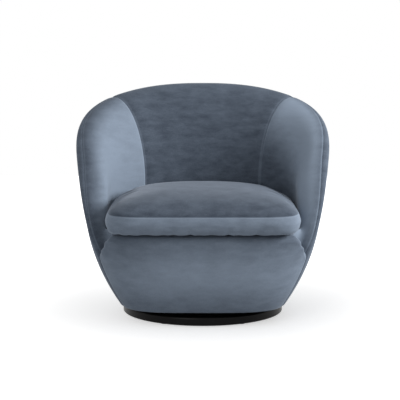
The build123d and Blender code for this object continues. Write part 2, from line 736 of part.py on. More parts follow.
def foam_path(angle):
    """Inside padding: a lip over the rim rail, the padded inner face, and a back on the ribs."""
    depth = COVER + FOAM_GAP
    radius, z, _ = roll_centre(angle, rim_z(angle), ROLL_RADIUS)
    lip = turn_path((radius, z), ROLL_RADIUS - depth, FOAM_LIP_ANGLE, rim_seam(angle))
    face = inside_path(angle, depth, INSIDE_BOTTOM_Z)
    behind = COVER + LAYER_GAP + WADDING + RIB_CLEARANCE
    rail_low = rim_z(angle) - RAIL_COVER - RAIL_HEIGHT
    reach = RIB_DEPTH + FOAM_BACK_GAP
    _, outer_top, inner_top, _ = rail_corners(angle, FOAM_GAP)
    back = straight(
        (body_inset(angle, INSIDE_BOTTOM_Z, behind) - reach, INSIDE_BOTTOM_Z),
        (body_inset(angle, rail_low, behind) - reach, rail_low),
        inner_top,
        outer_top,
    )
    return closed(lip + face, back)


def wadding_path(angle, depth):
    """Outside wadding: from the board up to the roll."""
    radius, z, lean = roll_centre(angle, rim_z(angle), ROLL_RADIUS)
    return face_path(angle, depth, BOARD_TOP_Z + LAYER_GAP, z - ROLL_RADIUS * math.sin(math.radians(lean)))


def apron_foam_path(angle):
    """Apron padding: down the front and hooked back over the top."""
    near = COVER + APRON_FOAM_GAP
    far = COVER + LAYER_GAP + APRON_FOAM
    top = apron_z(angle)
    radius, z, lean = roll_centre(angle, top, APRON_ROLL)
    roll = turn_path((radius, z), APRON_ROLL - near, -lean, 90)
    front = face_path(angle, near, BOARD_TOP_Z + LAYER_GAP, roll[0][0][1])
    front[-1] = (front[-1][0], None, roll[0][0])
    under = top - near - APRON_HOOK
    back = face_path(angle, far, BOARD_TOP_Z + LAYER_GAP, under)
    hook = straight((radius - APRON_RETURN, top - near), (radius - APRON_RETURN, under))
    return closed(front + roll, hook, reversed_path(back))


def apron_board_path(angle, depth):
    """Bent board behind the apron's padding."""
    return face_path(angle, depth, BOARD_TOP_Z, apron_z(angle) - COVER - APRON_HOOK - APRON_BOARD_DROP)


def build_upholstery():
    """Padding and covers of the wall and the front apron, and the dust cover below."""
    back, arm = back_angles(), arm_angles()
    foam = [a for a in arm if a < FOAM_END_ANGLE - 1]
    apron = apron_angles()

    def inside(angle):
        return band(lambda a, d: inside_path(a, d, INSIDE_BOTTOM_Z), angle, 0, COVER)

    def outside(angle):
        return band(outside_path, angle, 0, COVER)

    under_cover = COVER + LAYER_GAP

    def wadding(angle):
        return band(wadding_path, angle, under_cover, under_cover + WADDING)

    PARTS["inside_back_foam"] = sweep_round(back, foam_path)
    add_pair("inside_arm_foam", sweep_round(foam, foam_path))
    PARTS["inside_back_cover"] = sweep_round(back, inside)
    add_pair("inside_arm_cover", sweep_round(arm, inside))
    PARTS["outside_back_wadding"] = sweep_round(back, wadding)
    add_pair("outside_arm_wadding", sweep_round(arm, wadding))
    PARTS["outside_back_cover"] = sweep_round(back, outside)
    add_pair("outside_arm_cover", sweep_round(arm, outside))
    PARTS["apron_cover"] = sweep_round(apron, lambda a: band(apron_path, a, 0, COVER))
    PARTS["apron_foam"] = sweep_round(apron, apron_foam_path)
    board_near = under_cover + APRON_FOAM + 2 * LAYER_GAP
    PARTS["apron_board"] = sweep_round(
        apron, lambda a: band(apron_board_path, a, board_near, board_near + APRON_BOARD)
    )
    dust_top = BODY_BOTTOM_Z - LAYER_GAP
    dust = plan_slab(
        lambda a: body_radius(a, BODY_BOTTOM_Z) - DUST_COVER_EDGE,
        dust_top - DUST_COVER,
        dust_top,
        PLAN_ANGLES,
    )
    PARTS["dust_cover"] = dust - tube(SWIVEL_RADIUS + DUST_COVER_HOLE_GAP, 0, dust_top - DUST_COVER, dust_top)


# Loose cushion

def cushion_radius(angle):
    return hoop(
        angle,
        SEAT_HALF_WIDTH - CUSHION_GAP,
        SEAT_BACK - CUSHION_GAP,
        CUSHION_FRONT,
        SEAT_BACK_SQUARENESS,
        CUSHION_FRONT_SQUARENESS,
    )


def cushion_solid(depth):
    """The cushion's form at a depth under its surface: drawn-in border and crowned top."""
    seam_z = CUSHION_BOTTOM_Z + CUSHION_BORDER_HEIGHT
    foot = CUSHION_FOOT_HEIGHT
    levels = [
        (CUSHION_BOTTOM_Z + depth, CUSHION_FOOT_DRAW, 1.0),
        (CUSHION_BOTTOM_Z + foot + depth / 2, CUSHION_FOOT_DRAW * 0.3, 1.0),
        (CUSHION_BOTTOM_Z + foot + (CUSHION_BORDER_HEIGHT - foot) * 0.3, CUSHION_FOOT_DRAW * 0.04, 1.0),
        (CUSHION_BOTTOM_Z + foot + (CUSHION_BORDER_HEIGHT - foot) * 0.6, 0.0, 1.0),
        (seam_z, CUSHION_SEAM_DRAW, 1.0),
    ]
    for share in (0.97, 0.9, 0.79, 0.64, 0.45, 0.25):
        rise = (1 - share**3) ** 0.625
        levels.append((seam_z + (CUSHION_CROWN - depth) * rise, CUSHION_SEAM_DRAW, share))
    wires = [
        plan_wire(lambda a: (cushion_radius(a) - draw - depth) * share, z, CUSHION_ANGLES)
        for z, draw, share in levels
    ]
    return Solid.make_loft(wires)


def build_cushion():
    """Foam core in a cover of top panel, border and bottom panel."""
    skin = cushion_solid(0.0) - cushion_solid(CUSHION_COVER)
    seam_z = CUSHION_BOTTOM_Z + CUSHION_BORDER_HEIGHT
    foot_z = CUSHION_BOTTOM_Z + CUSHION_FOOT_HEIGHT
    half = SEAM_GAP / 2
    size = 4 * KNEE_HALF_WIDTH

    def slab(low, high):
        return Pos(0, 0, low) * Box(size, size, high - low, align=(Align.CENTER, Align.CENTER, Align.MIN))

    PARTS["cushion_core"] = cushion_solid(CUSHION_COVER + LAYER_GAP)
    PARTS["cushion_top"] = skin & slab(seam_z + half, OVERALL_HEIGHT)
    PARTS["cushion_border"] = skin & slab(foot_z + half, seam_z - half)
    PARTS["cushion_bottom"] = skin & slab(0, foot_z - half)


def main():
    """Builds every piece and writes one file per node."""
    for build in (
        build_plinth,
        build_swivel,
        build_frame,
        build_webbing,
        build_deck,
        build_upholstery,
        build_cushion,
    ):
        build()
    os.makedirs("parts", exist_ok=True)
    for name, shape in PARTS.items():
        export_step(shape, f"parts/{name}.step")


if __name__ == "__main__":
    main()
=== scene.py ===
"""Blender model of an upholstered tub armchair that swivels on a low round plinth.

The soft pieces are computed as numpy grids. Most are written in polar form round the swivel axis:
an angle from the back of the chair (0 at the back, 90 at the side, 180 at the front), and a path in
radius and height.
"""

import json
import logging
import math
from dataclasses import dataclass, field
from enum import Enum
from typing import Callable

import bmesh
import bpy
import numpy as np
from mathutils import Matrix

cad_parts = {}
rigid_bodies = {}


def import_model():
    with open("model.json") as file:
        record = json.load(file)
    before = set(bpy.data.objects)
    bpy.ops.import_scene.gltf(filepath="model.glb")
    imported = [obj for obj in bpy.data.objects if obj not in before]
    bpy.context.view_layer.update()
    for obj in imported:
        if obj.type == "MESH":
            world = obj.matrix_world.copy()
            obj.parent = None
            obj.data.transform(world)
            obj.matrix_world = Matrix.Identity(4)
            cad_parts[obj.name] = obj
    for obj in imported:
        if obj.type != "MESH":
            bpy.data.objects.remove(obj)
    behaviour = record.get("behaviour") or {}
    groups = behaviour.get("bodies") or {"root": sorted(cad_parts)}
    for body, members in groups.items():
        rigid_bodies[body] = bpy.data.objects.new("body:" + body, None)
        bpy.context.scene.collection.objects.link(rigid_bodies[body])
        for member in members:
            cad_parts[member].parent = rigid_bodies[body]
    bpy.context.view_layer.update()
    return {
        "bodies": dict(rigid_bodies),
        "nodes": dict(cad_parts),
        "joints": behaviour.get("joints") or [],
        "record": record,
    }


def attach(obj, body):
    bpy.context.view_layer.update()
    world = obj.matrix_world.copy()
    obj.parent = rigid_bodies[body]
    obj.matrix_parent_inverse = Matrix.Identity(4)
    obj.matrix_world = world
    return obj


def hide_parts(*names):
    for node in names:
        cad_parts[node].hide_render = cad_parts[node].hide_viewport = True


LOG = logging.getLogger("tub_chair")
Array = np.ndarray
Pair = tuple[float, float]
Triple = tuple[float, float, float]
# Radii and heights of a path, one row per section.
Run = tuple[Array, Array]


class Body(Enum):
    """Rigid bodies that the soft pieces ride on."""

    SEAT = "seat"
    CUSHION = "cushion"


class Side(Enum):
    """Side of the chair, as the sign of x."""

    LEFT = -1
    RIGHT = 1

    @property
    def word(self) -> str:
        """Name used in node and piece names."""
        return self.name.lower()


# Form


def fold(angle: Array) -> Array:
    """Angle from the back, 0 to 180 degrees, the same on both sides.

    Args:
        angle: angles in degrees.

    Returns:
        Folded angles in degrees.
    """
    return np.abs((np.asarray(angle, float) + 180) % 360 - 180)


def hoop(angle: Array, half_width: Array, back: Array, front: Array, powers: tuple[Array, Array]) -> Array:
    """Radius of a rounded plan outline: a superellipse behind the axis and another in front of it.

    The radius is (|sin a / w|^n + |cos a / d|^n)^(-1/n), with the depth d and power n of the half.

    Args:
        angle: angles from the back, in degrees.
        half_width: half width w of the outline.
        back: depth behind the axis.
        front: depth in front of the axis.
        powers: squareness behind and in front of the axis.

    Returns:
        Radii in metres.
    """
    turn = np.radians(angle)
    along = np.cos(turn)
    depth = np.where(along >= 0, back, front)
    power = np.where(along >= 0, powers[0], powers[1])
    side = np.abs(np.sin(turn)) / half_width
    return (side**power + (np.abs(along) / depth) ** power) ** (-1 / power)


def ease(share: Array) -> Array:
    """Smooth step from 0 to 1: three times the square less twice the cube.

    Args:
        share: position, clipped to 0..1.

    Returns:
        Eased share.
    """
    share = np.clip(share, 0.0, 1.0)
    return share * share * (3 - 2 * share)


def soft_least(first: Array | float, second: Array | float, blend: float) -> Array:
    """Smaller of two values, rounded off where they cross.

    Args:
        first: one value.
        second: the other value.
        blend: size of the rounding.

    Returns:
        Smoothed minimum.
    """
    return -blend * np.logaddexp(-np.asarray(first) / blend, -np.asarray(second) / blend)


def spaced(start: Array | float, end: Array | float, count: int) -> Array:
    """Values spread evenly between two arrays, on a new last axis.

    Args:
        start: first values.
        end: last values.
        count: number of values.

    Returns:
        Array with count columns.
    """
    share = np.linspace(0.0, 1.0, count)
    start, end = np.asarray(start, float)[..., None], np.asarray(end, float)[..., None]
    return start + (end - start) * share


def polar(angle: Array, radius: Array, height: Array) -> Array:
    """Points from angle, radius and height round the swivel axis.

    Args:
        angle: angles from the back, in degrees.
        radius: radii in metres.
        height: heights in metres.

    Returns:
        Points, with the coordinates on the last axis.
    """
    turn = np.radians(angle)
    return np.stack(np.broadcast_arrays(radius * np.sin(turn), radius * np.cos(turn), height), axis=-1)


def arc(centre: Run, bend: Array | float, turn: Array) -> Run:
    """Circular arc in each section: the centre plus the bend times the cosine and sine of the turn.

    Args:
        centre: radius and height of the centre, one per section.
        bend: radius of the arc.
        turn: angles above the outward direction, in radians, one row per section.

    Returns:
        Radii and heights, one row per section.
    """
    radius, height, bend = (np.asarray(value, float)[..., None] for value in (*centre, bend))
    return radius + bend * np.cos(turn), height + bend * np.sin(turn)


def ellipse(start: Run, end: Run, turn: Array) -> Run:
    """Quarter ellipse in each section, level at its start and upright at its end.

    The radius moves with the sine of the turn, and the height with its cosine.

    Args:
        start: radius and height at the start, one per section.
        end: radius and height at the end, one per section.
        turn: angles from 0 to a quarter turn, in radians.

    Returns:
        Radii and heights, one row per section.
    """
    from_r, from_z, to_r, to_z = (np.asarray(value, float)[..., None] for value in (*start, *end))
    return from_r - (from_r - to_r) * np.sin(turn), to_z + (from_z - to_z) * np.cos(turn)


def joined(*runs: Run) -> Run:
    """Paths joined end to end.

    Args:
        runs: radii and heights of each path.

    Returns:
        Radii and heights of the whole path.
    """
    pairs = [np.broadcast_arrays(*run) for run in runs]
    radius, height = (np.concatenate(parts, axis=1) for parts in zip(*pairs))
    return radius, height


@dataclass(frozen=True)
class TubForm:
    """Form of the upholstered tub: the outer wall, the rim and the padded inner faces."""

    height: float = 0.733
    bottom: float = 0.0460
    # Half width and depths behind and in front of the axis at the knee, and their growth with height.
    knee: float = 0.280
    knee_size: Triple = (0.3665, 0.342, 0.350)
    flare: Triple = (0.200, 0.086, 0.100)
    # How far the wall is drawn in from the knee to the bottom.
    tuck: float = 0.053
    # Squareness of the plan behind the axis, and in front of it at the bottom and at the knee.
    back_power: float = 2.45
    front_powers: Pair = (3.7, 3.8)
    # Round and flat return of the hem, and the number of points along the return and the round.
    hem_bend: float = 0.013
    hem_return: float = 0.024
    hem_steps: tuple[int, int] = (6, 12)
    # Angle and height of the rim's point, the power of the rim's fall to it and the radius of its roll.
    rim_end: float = 126.0
    rim_end_z: float = 0.240
    rim_power: float = 2.55
    roll: float = 0.024
    # Place of the rim's seam on the roll at the back and at the point, and the angle over which it falls.
    rim_seams: Pair = (78.0, 35.0)
    rim_seam_fall: float = 35.0
    # Angle of the seams between the back and the arms.
    panel_seam: float = 48.0
    # Half width, depths and squareness of the inner faces' outline at seat height.
    seat_size: Triple = (0.305, 0.211, 0.400)
    seat_powers: Pair = (2.2, 5.0)
    # Height below which the inner faces stand upright, and the least fall to it from the rim.
    upright: float = 0.405
    inner_drop: float = 0.060
    least_wall: float = 0.025
    deck: float = 0.3027
    # Seat level of the apron, the angle over which it rises there and the radius of its roll.
    apron_top: float = 0.2970
    apron_rise: float = 12.0
    apron_roll: float = 0.022
    # Angle over which the rim seam's valley fades at the point.
    point_fade: float = 10.0

    def outer_radius(self, angle: Array, z: Array) -> Array:
        """Outer radius: a straight flare above the knee, drawn in below it with the square of the depth.

        Args:
            angle: angles from the back, in degrees.
            z: heights.

        Returns:
            Radii in metres.
        """
        below = np.clip((self.knee - z) / (self.knee - self.bottom), 0.0, 1.0)
        drawn = self.tuck * below**2
        sizes = [k + f * (z - self.knee) - drawn for k, f in zip(self.knee_size, self.flare)]
        low, high = self.front_powers
        return hoop(angle, *sizes, (self.back_power, high + (low - high) * below))

    def slope(self, angle: Array, z: Array) -> Array:
        """Growth of the outer radius with height, over half a millimetre either way."""
        step = 0.0005
        return (self.outer_radius(angle, z + step) - self.outer_radius(angle, z - step)) / (2 * step)

    def rim(self, angle: Array) -> Array:
        """Height of the rim's crest, which falls from the back with a power of the angle."""
        share = np.minimum(1.0, fold(angle) / self.rim_end)
        return self.rim_end_z + (self.height - self.rim_end_z) * (1 - share**self.rim_power)

    def rim_seam(self, angle: Array) -> Array:
        """Radians on the rim's roll at its seam: near the crest, and down the outer face at the point."""
        share = ease(1 - (self.rim_end - fold(angle)) / self.rim_seam_fall)
        return np.radians(self.rim_seams[0] + (self.rim_seams[1] - self.rim_seams[0]) * share)

    def from_point(self, angle: Array) -> Array:
        """Share that fades the rim seam's valley to nothing at the rim's point."""
        return ease((self.rim_end - fold(angle)) / self.point_fade)

    def corner(self, angle: Array) -> Array:
        """Share of the way from the rim's point, 0, to the apron's full height, 1."""
        return ease((fold(angle) - self.rim_end) / self.apron_rise)

    def apron(self, angle: Array) -> Array:
        """Height of the apron's roll, which falls from seat level to the rim's point at each corner."""
        return self.rim_end_z + (self.apron_top - self.rim_end_z) * self.corner(angle)

    def apron_bend(self, angle: Array) -> Array:
        """Radius of the apron's roll, which is the rim's own at its point, so that the two meet there."""
        return self.roll + (self.apron_roll - self.roll) * self.corner(angle)

    def roll_centre(self, angle: Array, top: Array, radius: Array | float) -> tuple[Array, Array, Array]:
        """Centre of a roll over a top edge, tangent to the leaning outer face.

        Args:
            angle: angles from the back, in degrees.
            top: height of the crest.
            radius: radius of the roll.

        Returns:
            Radius and height of the centre, and the lean of the face in radians.
        """
        lean = np.arctan(self.slope(angle, top - radius))
        contact = top - radius - radius * np.sin(lean)
        return self.outer_radius(angle, contact) - radius * np.cos(lean), top - radius, lean

    def seat_radius(self, angle: Array) -> Array:
        """Radius of the inner faces at seat height, which never leaves less than the least wall."""
        inner = hoop(angle, *self.seat_size, self.seat_powers)
        return np.minimum(inner, self.roll_centre(angle, self.rim(angle), self.roll)[0] - self.least_wall)

    def hem(self, angle: Array) -> Run:
        """Path of a turned-under hem: a flat return, then a round up to the outer face.

        Args:
            angle: angles of the sections, in degrees.

        Returns:
            Radii and heights, one row per section.
        """
        bend = self.hem_bend
        lean = np.arctan(self.slope(angle, np.full_like(angle, self.bottom + bend)))
        contact = self.bottom + bend * (1 - np.sin(lean))
        centre = self.outer_radius(angle, contact) - bend * np.cos(lean)
        flat = spaced(centre - self.hem_return, centre, self.hem_steps[0])[:, :-1]
        turn = spaced(-math.pi / 2, -lean, self.hem_steps[1])
        return joined((flat, self.bottom), arc((centre, self.bottom + bend), bend, turn))

    def outside(
        self, angle: Array, top: Array, bend: Array | float, end: Array | float, steps: tuple[int, int]
    ) -> Run:
        """Path from the hem up the outer face and over a roll.

        Args:
            angle: angles of the sections, in degrees.
            top: height of the roll's crest.
            bend: radius of the roll.
            end: where the path ends on the roll, in radians above the outward direction.
            steps: number of points up the face and over the roll.

        Returns:
            Radii and heights, one row per section.
        """
        hem = self.hem(angle)
        radius, centre, lean = self.roll_centre(angle, top, bend)
        face = spaced(hem[1][:, -1], centre - bend * np.sin(lean), steps[0])[:, 1:]
        roll = arc((radius, centre), bend, spaced(-lean, end, steps[1])[:, 1:])
        return joined(hem, (self.outer_radius(angle[:, None], face), face), roll)


FORM = TubForm()


# Surfaces


@dataclass
class Grid:
    """A surface sampled on a grid: the first axis runs round or across it, the second along its path.

    The rows of a fan are sections through the swivel axis.
    """

    points: Array
    wrap: bool = False
    fan: bool = False

    def normals(self) -> Array:
        """Unit normals from the cross product of the two grid directions.

        A fan's first and last rows take theirs in the section's own plane, so that two pieces that share
        a section still meet there when both are pushed in.

        Returns:
            Normals, one per point.
        """
        across = np.gradient(self.points, axis=0)
        if self.wrap:
            across = (np.roll(self.points, -1, 0) - np.roll(self.points, 1, 0)) / 2
        if self.fan:
            ends = self.points[[0, -1]]
            across[[0, -1]] = np.stack([ends[..., 1], -ends[..., 0], np.zeros(ends.shape[:2])], axis=-1)
        along = np.gradient(self.points, axis=1)
        normal = np.cross(across, along)
        return normal / np.maximum(np.linalg.norm(normal, axis=-1, keepdims=True), 1e-12)

    def facing(self, view: Array) -> float:
        """Sign of the normals along a direction: 1 where they mostly point along it, -1 against it."""
        return float(np.sign(np.sum(self.normals() * view, axis=-1).mean()))

    def lengths(self) -> tuple[Array, Array]:
        """Distance of every point from the first row and from the first column, along the grid.

        Returns:
            Distance across and distance along, in metres.
        """
        steps = np.linalg.norm(np.diff(self.points, axis=0), axis=-1)
        across = np.concatenate([np.zeros((1, self.points.shape[1])), np.cumsum(steps, axis=0)])
        steps = np.linalg.norm(np.diff(self.points, axis=1), axis=-1)
        along = np.concatenate([np.zeros((self.points.shape[0], 1)), np.cumsum(steps, axis=1)], axis=1)
        return across, along

    def push(self, amount: Array) -> "Grid":
        """The grid with every point moved along its normal by an amount."""
        return Grid(self.points + self.normals() * np.asarray(amount)[..., None], self.wrap, self.fan)

    def mesh(self, name: str, flip: bool = False, nap: Array | float = 0.4) -> bpy.types.Object:
        """Makes a smooth-shaded object with texture coordinates in metres and a value of painted light and
        shade for the nap.

        Args:
            name: name of the piece.
            flip: turns the faces over.
            nap: painted light and shade at every point, standing for how the pile catches the light, from
                0, dark, to 1, pale.

        Returns:
            The new object, linked to the scene.
        """
        rows, columns = self.points.shape[:2]
        index = np.arange(rows * columns).reshape(rows, columns)
        if self.wrap:
            index = np.concatenate([index, index[:1]])
        corners = index[:-1, :-1], index[1:, :-1], index[1:, 1:], index[:-1, 1:]
        quads = np.stack(corners, axis=-1).reshape(-1, 4)
        if flip:
            quads = quads[:, ::-1]
        data = bpy.data.meshes.new(name)
        data.from_pydata(self.points.reshape(-1, 3).tolist(), [], quads.tolist())
        data.polygons.foreach_set("use_smooth", np.ones(len(quads), bool))
        flat = np.stack(self.lengths(), axis=-1).reshape(-1, 2)
        layer = data.uv_layers.new(name="cloth")
        layer.data.foreach_set("uv", flat[quads.reshape(-1)].astype(np.float32).reshape(-1))
        painted_nap_shade = data.attributes.new("nap", "FLOAT", "POINT")
        painted_nap_shade.data.foreach_set("value", np.broadcast_to(nap, (rows, columns)).astype(np.float32).reshape(-1))
        data.update()
        piece = bpy.data.objects.new(name, data)
        bpy.context.scene.collection.objects.link(piece)
        return piece


@dataclass(frozen=True)
class Seam:
    """A sewn seam: the valley that it pulls into the padding, and a painted highlight along it, where the
    opened pile catches the light.
    """

    depth: float
    width: float
    pale: float = 0.0
    # How far the painted highlight lies from the seam itself, and its half width.
    offset: float = 0.0
    line_width: float = 0.0028
    # The narrow notch's share of the depth and of the width.
    notch: Pair = (0.4, 0.22)

    def valley(self, distance: Array) -> Array:
        """Depth of the valley: a narrow notch in a wider dip, both bell curves of the distance.

        Args:
            distance: distance from the seam.

        Returns:
            Inward push, positive.
        """
        share, narrow = self.notch
        wide = np.exp(-((distance / self.width) ** 2))
        notch = np.exp(-((distance / (self.width * narrow)) ** 2))
        return self.depth * ((1 - share) * wide + share * notch)

    def line(self, distance: Array) -> Array:
        """Painted highlight along the seam, where the opened pile catches the light: a bell curve."""
        return self.pale * np.exp(-(((distance - self.offset) / self.line_width) ** 2))


RIM_SEAM = Seam(depth=0.0030, width=0.010, pale=0.22, offset=0.003)
PANEL_SEAM = Seam(depth=0.0050, width=0.016, pale=0.2, offset=0.002)
CORNER_SEAM = Seam(depth=0.0028, width=0.010, pale=0.3, offset=0.002)
CUSHION_SEAM = Seam(depth=0.0040, width=0.011, pale=0.12)


@dataclass(frozen=True)
class Brushing:
    """Painted light and shade of an inside panel's nap: its level, and how much darker it is painted in two
    places.
    """

    nap: float
    # Painted shade at the rim's crest, fading over a distance from the rim's seam.
    crest_shade: float = 0.55
    crest_shade_width: float = 0.026
    # Painted shadow low down, from a distance from the rim's seam on and over another.
    low: float = 0.0
    low_start: float = 0.07
    low_reach: float = 0.22

    def painted_nap_shade(self, along: Array) -> Array:
        """Painted light and shade by the distance from the rim's seam: a bell curve and a smooth step
        darken it.
        """
        crest_shade = 1 - self.crest_shade * np.exp(-((along / self.crest_shade_width) ** 2))
        return self.nap * (crest_shade * (1 - self.low * ease((along - self.low_start) / self.low_reach)))


# Painted light and shade for each inside panel: the back dark, the arms pale, each with its own painted
# shade at the crest, the right arm with a painted shadow low down.
BACK_NAP_SHADING = Brushing(0.17)
ARM_NAP_SHADING = {
    Side.LEFT: Brushing(0.86, crest_shade=0.85, crest_shade_width=0.058),
    Side.RIGHT: Brushing(0.95, crest_shade=0.75, crest_shade_width=0.022, low=0.85),
}


# Materials


def linear(code: str) -> tuple[float, float, float, float]:
    """Linear colour of an sRGB hex code.

    Args:
        code: colour such as "#5a6675".

    Returns:
        Linear red, green, blue and an alpha of 1.
    """
    parts = [int(code[i : i + 2], 16) / 255 for i in (1, 3, 5)]
    return tuple(c / 12.92 if c <= 0.04045 else ((c + 0.055) / 1.055) ** 2.4 for c in parts) + (1.0,)


def add_node(
    tree: bpy.types.NodeTree,
    kind: str,
    values: dict[str, object] | None = None,
    links: dict[str, bpy.types.NodeSocket] | None = None,
    **settings: object,
) -> bpy.types.Node:
    """Adds a shader node, sets its inputs and joins its links.

    Args:
        tree: node tree.
        kind: node type, without the ShaderNode prefix.
        values: input name or index to constant value.
        links: input name or index to the socket that feeds it.
        settings: node properties.

    Returns:
        The new node.
    """
    node = tree.nodes.new("ShaderNode" + kind)
    for key, value in settings.items():
        setattr(node, key, value)
    for key, value in (values or {}).items():
        node.inputs[key].default_value = value
    for key, socket in (links or {}).items():
        tree.links.new(socket, node.inputs[key])
    return node


def new_material(name: str) -> tuple[bpy.types.Material, bpy.types.NodeTree, bpy.types.Node]:
    """Makes an empty node material with an output.

    Args:
        name: name of the material.

    Returns:
        The material, its tree and its output node.
    """
    material = bpy.data.materials.new(name)
    material.use_nodes = True
    tree = material.node_tree
    tree.nodes.clear()
    return material, tree, tree.nodes.new("ShaderNodeOutputMaterial")


@dataclass(frozen=True)
class Velvet:
    """Short-pile velvet, woven and brushed."""

    # To the eye: dark where it looks into the pile, paler where the pile leans away or stands open at a
    # seam, a soft sheen at grazing angles and cloudy patches where a hand brushed it. The sheen where the
    # surface turns from the view, and the nap's light and shade, are painted into the colour.
    name: str = "velvet_slate_blue_woven"
    deep: str = "#2b323d"
    pale: str = "#7a8695"
    sheen: str = "#c4ccd8"
    sheen_weight: float = 0.28
    # Share of painted sheen: it lifts the colour towards the pale tone where the surface turns from the
    # view.
    painted_sheen_lift: float = 0.30
    # Brushed patches are a palm's breadth across and a thumb's breadth high.
    patch_mm: Triple = (55.0, 55.0, 22.0)
    patch_swing: float = 0.09
    # Tufts stand about 0.4 mm apart; they are drawn at 0.9 mm, because finer ones would not show.
    pile_mm: float = 0.9
    pile_swing: float = 0.12

    def build(self) -> bpy.types.Material:
        """Builds the material.

        Returns:
            The material.
        """
        material, tree, output = new_material(self.name)
        place = add_node(tree, "TexCoord").outputs["Object"]
        scale = tuple(1000 / size for size in self.patch_mm)
        long = add_node(tree, "Mapping", {"Scale": scale}, {"Vector": place}).outputs[0]
        cloud = {"Scale": 1.0, "Detail": 4.0, "Roughness": 0.62}
        patch = add_node(tree, "TexNoise", cloud, {"Vector": long}).outputs[0]
        tufts = {"Scale": 1000 / self.pile_mm, "Detail": 1.0}
        pile = add_node(tree, "TexNoise", tufts, {"Vector": place}).outputs[0]
        swings = []
        for noise, swing in ((patch, self.patch_swing), (pile, self.pile_swing)):
            limits = {"From Min": 0.3, "From Max": 0.7, "To Min": -swing, "To Max": swing}
            swings.append(add_node(tree, "MapRange", limits, {"Value": noise}).outputs[0])
        # Painted sheen from the facing share, and painted light and shade from the nap value, lift the
        # colour towards the pale tone.
        facing = add_node(tree, "LayerWeight", {"Blend": 0.35}).outputs["Facing"]
        painted_nap_shade = add_node(tree, "Attribute", attribute_name="nap").outputs["Fac"]
        edge = add_node(tree, "Math", {1: self.painted_sheen_lift}, {0: facing, 2: painted_nap_shade}, operation="MULTIPLY_ADD")
        lift = add_node(tree, "Math", {}, dict(enumerate(swings)), operation="ADD")
        both = {0: edge.outputs[0], 1: lift.outputs[0]}
        share = add_node(tree, "Math", {}, both, operation="ADD", use_clamp=True).outputs[0]
        colours = {"A": linear(self.deep), "B": linear(self.pale)}
        colour = add_node(tree, "Mix", colours, {"Factor": share}, data_type="RGBA")
        bump = add_node(tree, "Bump", {"Strength": 0.12, "Distance": 0.0004}, {"Height": pile})
        shader = add_node(
            tree,
            "BsdfPrincipled",
            {
                "Roughness": 0.9,
                "Specular IOR Level": 0.15,
                "Sheen Weight": self.sheen_weight,
                "Sheen Roughness": 0.32,
                "Sheen Tint": linear(self.sheen),
            },
            {"Base Color": colour.outputs["Result"], "Normal": bump.outputs[0]},
        )
        tree.links.new(shader.outputs[0], output.inputs["Surface"])
        return material


@dataclass(frozen=True)
class Plain:
    """A finish with a mottled colour and a fine bump, for the plinth, metal, timber and linings."""

    name: str
    dark: str
    light: str
    rough: float
    grain_mm: Triple
    metallic: float = 0.0
    specular: float = 0.5
    bump: float = 0.1
    depth: float = 0.0002
    # The roughness goes from one share of its value to the other with the grain.
    rough_swing: Pair = (0.85, 1.15)

    def build(self) -> bpy.types.Material:
        """Builds the material.

        Returns:
            The material.
        """
        material, tree, output = new_material(self.name)
        place = add_node(tree, "TexCoord").outputs["Object"]
        scale = tuple(1000 / size for size in self.grain_mm)
        stretch = add_node(tree, "Mapping", {"Scale": scale}, {"Vector": place}).outputs[0]
        grain = add_node(tree, "TexNoise", {"Scale": 1.0, "Detail": 4.0}, {"Vector": stretch}).outputs[0]
        colours = {"A": linear(self.dark), "B": linear(self.light)}
        colour = add_node(tree, "Mix", colours, {"Factor": grain}, data_type="RGBA")
        low, high = (self.rough * share for share in self.rough_swing)
        rough = add_node(tree, "MapRange", {"To Min": low, "To Max": high}, {"Value": grain})
        bump = add_node(tree, "Bump", {"Strength": self.bump, "Distance": self.depth}, {"Height": grain})
        shader = add_node(
            tree,
            "BsdfPrincipled",
            {"Metallic": self.metallic, "Specular IOR Level": self.specular},
            {
                "Base Color": colour.outputs["Result"],
                "Roughness": rough.outputs[0],
                "Normal": bump.outputs[0],
            },
        )
        tree.links.new(shader.outputs[0], output.inputs["Surface"])
        return material


VELVET = Velvet()
# Near black, with a soft blurred highlight.  Turning leaves rings about 1 mm apart under the lacquer;
# they are drawn 4 mm high, because finer ones would not show.
LACQUER = Plain(
    "black_lacquer_sprayed_on_turned_timber", "#040303", "#080707", 0.30, (50, 50, 4), specular=0.1
)
# Pale and dry, with streaks: the plies are 1.5 mm thick and the grain runs about 120 mm.
PLYWOOD = Plain("birch_plywood_sawn", "#a98655", "#cfb083", 0.65, (120, 120, 1.5))
# Grey metal with a soft shine.  The plating's crystals, under 1 mm, are drawn at 4 mm so that they show.
STEEL = Plain("steel_zinc_plated", "#7d7d78", "#a5a49c", 0.35, (4, 4, 4), metallic=1.0)
# Dull black with a pebbled face.  The pebbles, about 0.6 mm, are drawn at 1.2 mm so that they show.
BLACK_STEEL = Plain("steel_black_powder_coated", "#0c0c0c", "#191919", 0.5, (1.2, 1.2, 1.2))
# Black with a low gloss.  The mould's fine texture, about 0.3 mm, is drawn at 3 mm so that it shows.
NYLON = Plain("nylon_black_moulded", "#101010", "#1b1b1b", 0.45, (3, 3, 3))
# Flat black felt of pressed fibres, bonded at points about 1.2 mm apart.
LINING = Plain("lining_black_non_woven", "#0e0e10", "#1d1d20", 0.95, (1.2, 1.2, 1.2), bump=0.4)
# Matt black bands with ribs about 2 mm apart.
WEBBING = Plain("webbing_black_woven_elastic", "#131313", "#2a2826", 0.9, (2, 2, 2), bump=0.4)
# Cream, with open cells.  They are about 1 mm wide and drawn at 2 mm so that they show.
FOAM = Plain("foam_cut", "#cdbd8d", "#e5dab4", 0.95, (2, 2, 2), bump=0.5)


# Pieces


